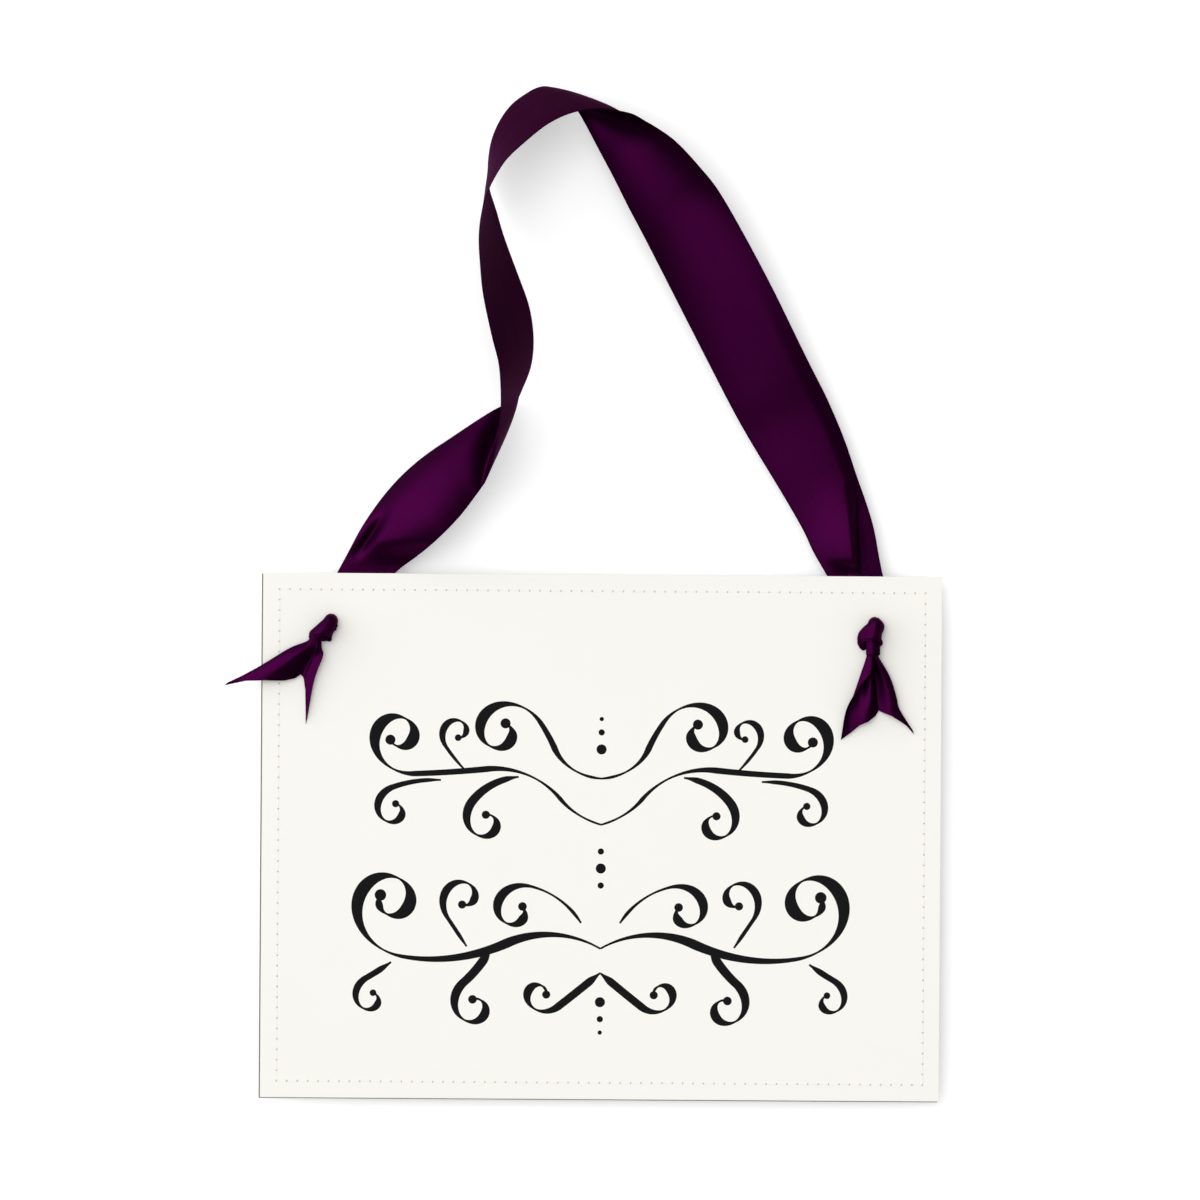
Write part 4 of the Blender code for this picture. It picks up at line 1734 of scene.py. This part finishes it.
LEFT_ROLLS = {
    "neck": NECK,
    "collar": Roll((
        ((-4.6, -1.2, 4.0), (2.3, 0, 0), 1.6), ((-5.6, -3.4, 3.7), (2.5, -0.3, 0), 1.7),
        ((-6.1, -5.2, 3.3), (2.4, -0.4, 0), 1.8), ((-6.2, -7.0, 3.1), (2.1, -0.5, 0), 1.6),
    ), pleats=5, depth=0.01),
    "bulge": Roll((
        ((1.0, 1.6, 3.0), (0.6, 1.4, 0.2), 1.6), ((-1.6, 1.2, 3.2), (0.8, 1.6, 0.4), 2.0),
        ((-4.2, -0.6, 3.2), (1.2, 1.6, 0.4), 2.0), ((-6.4, -2.2, 2.8), (1.4, 0.9, 0.3), 1.7),
        ((-7.0, -3.6, 2.0), (1.2, -0.2, 0.3), 1.2), ((-4.8, -4.4, 1.4), (-0.4, -1.0, 0.2), 0.9),
        ((-1.8, -4.6, 1.8), (-0.4, -1.0, 0.2), 1.0), ((-0.4, -4.2, 2.2), (-0.6, -0.8, 0.2), 0.9),
    )),
    "roll": Roll((
        ((-8.0, -3.2, 2.6), (0.1, 0.5, 0.2), 0.5), ((-6.6, -3.3, 4.6), (0.1, 0.6, 0.2), 0.6),
        ((-4.9, -3.3, 5.9), (0.1, 0.6, 0.2), 0.6), ((-3.4, -3.6, 6.0), (0.3, 0.6, 0.2), 0.6),
        ((-2.4, -4.3, 5.5), (0.4, 0.5, 0.2), 0.55), ((-1.3, -4.95, 4.8), (0.2, 0.55, 0.2), 0.55),
        ((-0.2, -5.2, 4.0), (0.1, 0.55, 0.2), 0.5), ((0.2, -4.9, 3.0), (0.2, 0.4, 0.2), 0.4),
    ), pleats=2),
}
LEFT_KNOT = Knot(Side.LEFT, LEFT_HOOD, LEFT_ROLLS)


# ---------------------------------------------------------------- tails


@dataclass(frozen=True)
class Tail:
    """One free end of the ribbon: gathered at the collar and cut to a swallowtail.

    start is its hinge on the printed face, and down is not used. pleat_h is its pleats' height in
    millimetres. They start at a share of it, least, and rise and die away between the shares of its
    length in grow and fade. bend_z and bend_span are not used.
    """

    side: Side
    start: Point
    down: tuple[float, float]
    drape: Drape
    pleat_h: float
    rows: int = 72
    columns: int = 109
    pleats: float = 5.5
    least: float = 0.15
    grow: tuple[float, float] = (0.05, 0.3)
    fade: tuple[float, float] = (0.25, 0.8)
    bend_z: float = 0.006
    bend_span: tuple[float, float] = (0.0005, 0.005)
    flat_length: float = 0.042
    flat_area: float = 0.00100

    def surface(self) -> np.ndarray:
        """Draws the tail's pleated cloth.

        Returns:
            Its rows of points, from inside the collar to the swallowtail cut.
        """
        points = self.drape.surface(self.rows, self.columns)
        run = np.linspace(0.0, 1.0, self.rows)
        grown = self.least + (1 - self.least) * smoothstep(run, *self.grow)
        heights = self.pleat_h * grown * (1 - smoothstep(run, *self.fade))
        return pleat(points, self.pleats, heights) * MM + np.array(self.start)

    def build(self, satin: bpy.types.Material) -> None:
        """Builds the tail as one sheet of cloth.

        Args:
            satin: its finish.
        """
        knot, body = "knot_" + self.side.word, "tail_" + self.side.word
        points = self.surface()
        cloth = cloth_coordinates(points, SIZES.ribbon_w)
        tail = grid_object("ribbon_end_" + self.side.word, points, cloth)
        thicken(tail, SIZES.ribbon_t)
        smooth_by_angle(tail, CREASE)
        dress(tail, satin)
        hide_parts("ribbon_" + body)
        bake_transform(tail)
        report(tail)


LEFT_TAIL = Tail(
    Side.LEFT,
    (-0.117632, 0.186323, SIZES.front_z),
    (-0.574, -0.819),
    Drape(
        (
            (
                (-1.6, 3.4, 1.6), (-2.9, 3.8, 3.0), (-2.1, 3.4, 4.8), (-0.6, 3.2, 5.0),
                (0.9, 3.2, 4.8), (2.1, 3.0, 3.2), (1.0, 2.8, 1.6),
            ),
            (
                (-1.9, 0.4, 1.2), (-3.4, 1.5, 2.4), (-2.5, 0.3, 4.8), (-0.9, -0.7, 4.6),
                (0.8, -0.9, 4.6), (2.3, -1.4, 3.4), (0.8, -1.6, 1.2),
            ),
            (
                (-3.2, -6.4, 0.6), (-10.9, -1.7, 2.2), (-8.2, -4.6, 5.6), (-3.4, -6.4, 1.6),
                (-0.6, -5.6, 2.6), (2.8, -4.7, 3.6), (-1.8, -6.6, 0.7),
            ),
            (
                (-10.0, -10.6, 0.6), (-21.8, -8.3, 1.8), (-16.4, -11.0, 4.8), (-6.5, -12.4, 1.0),
                (-3.6, -13.2, 1.8), (-0.7, -14.5, 2.9), (-4.2, -12.4, 0.6),
            ),
            (
                (-38.2, -17.1, 1.1), (-36.5, -16.4, 1.2), (-27.0, -19.5, 2.6), (-8.5, -22.0, 0.9),
                (-5.0, -25.0, 1.6), (-3.8, -31.0, 1.4), (-4.0, -32.7, 1.1),
            ),
        ),
        (0.0, 0.11, 0.29, 0.5, 0.71, 0.89, 1.0),
        (
            (0.0, 4.0), (0.11, 3.9), (0.29, 3.45), (0.4, 3.35), (0.46, 3.2),
            (0.5, 2.98), (0.6, 3.16), (0.71, 3.45), (0.89, 3.9), (1.0, 4.0),
        ),
    ),
    pleat_h=0.08,
)
RIGHT_TAIL = Tail(
    Side.RIGHT,
    (0.1109, 0.1826, SIZES.front_z),
    (0.0, -1.0),
    Drape(
        (
            (
                (-0.6, 2.6, 3.8), (-1.9, 2.6, 3.0), (-1.2, 2.6, 2.2), (-0.4, 2.6, 2.4),
                (0.2, 2.6, 2.2), (1.2, 2.6, 3.8), (1.8, 2.6, 2.8), (1.0, 2.4, 2.0),
            ),
            (
                (-0.2, 0.0, 4.9), (-2.4, 0.0, 3.4), (-1.6, -0.2, 1.8), (-0.5, -0.3, 2.6),
                (0.4, -0.2, 2.0), (1.6, 0.0, 4.8), (2.6, 0.0, 2.8), (1.4, -0.4, 1.3),
            ),
            (
                (-0.8, -6.2, 6.2), (-5.1, -8.0, 4.2), (-3.4, -9.2, 1.2), (-0.4, -9.4, 3.2),
                (1.9, -9.6, 0.6), (5.0, -9.0, 3.6), (7.3, -8.2, 2.4), (3.4, -8.8, 0.7),
            ),
            (
                (-5.0, -11.9, 5.6), (-7.6, -16.0, 3.4), (-4.6, -17.5, 2.2), (-0.4, -17.6, 4.0),
                (2.5, -17.2, 0.7), (7.2, -16.6, 3.4), (10.0, -16.4, 2.2), (4.4, -15.5, 0.7),
            ),
            (
                (-10.3, -21.2, 3.2), (-9.4, -24.0, 1.8), (-5.4, -24.0, 2.4), (-1.4, -24.0, 3.4),
                (3.2, -24.0, 0.9), (8.0, -22.6, 3.0), (11.4, -21.3, 1.9), (8.6, -21.4, 0.9),
            ),
            (
                (-12.6, -34.1, 1.1), (-8.5, -33.5, 1.3), (-5.0, -34.0, 1.7), (-1.0, -34.0, 2.0),
                (4.2, -34.0, 1.2), (10.5, -31.0, 2.4), (16.9, -30.6, 1.3), (17.6, -31.5, 1.1),
            ),
        ),
        (0.0, 0.12, 0.27, 0.39, 0.5, 0.7, 0.89, 1.0),
        (
            (0.0, 5.0), (0.12, 4.77), (0.28, 4.43), (0.39, 4.27), (0.46, 4.0),
            (0.5, 3.71), (0.7, 4.2), (0.89, 4.9), (1.0, 5.0),
        ),
    ),
    pleat_h=0.14,
)


def numbers(corners: Iterable[Vector]) -> list[list[float]]:
    """Two corners as plain lists of numbers."""
    return [[float(value) for value in corner] for corner in corners]


def main() -> None:
    """Builds the studio and every piece of the sign in order."""
    logging.basicConfig(level=logging.INFO, format="%(name)s %(message)s")
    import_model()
    cad_box = numbers(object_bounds())
    Studio().build(cad_box[0][2])

    satin = PlumSatin().build()
    card = CardStock().build("card_stock_finish")
    backing = CardStock().build("backing_card_finish", gap_shaded=True)
    SewnCard(card, backing, CottonThread().build()).build()
    Ornament(PrintInk().build()).build()
    HangingRibbon(satin).build()
    LEFT_KNOT.build(satin)
    RIGHT_KNOT.build(satin)
    LEFT_TAIL.build(satin)
    RIGHT_TAIL.build(satin)


if __name__ == "__main__":
    main()
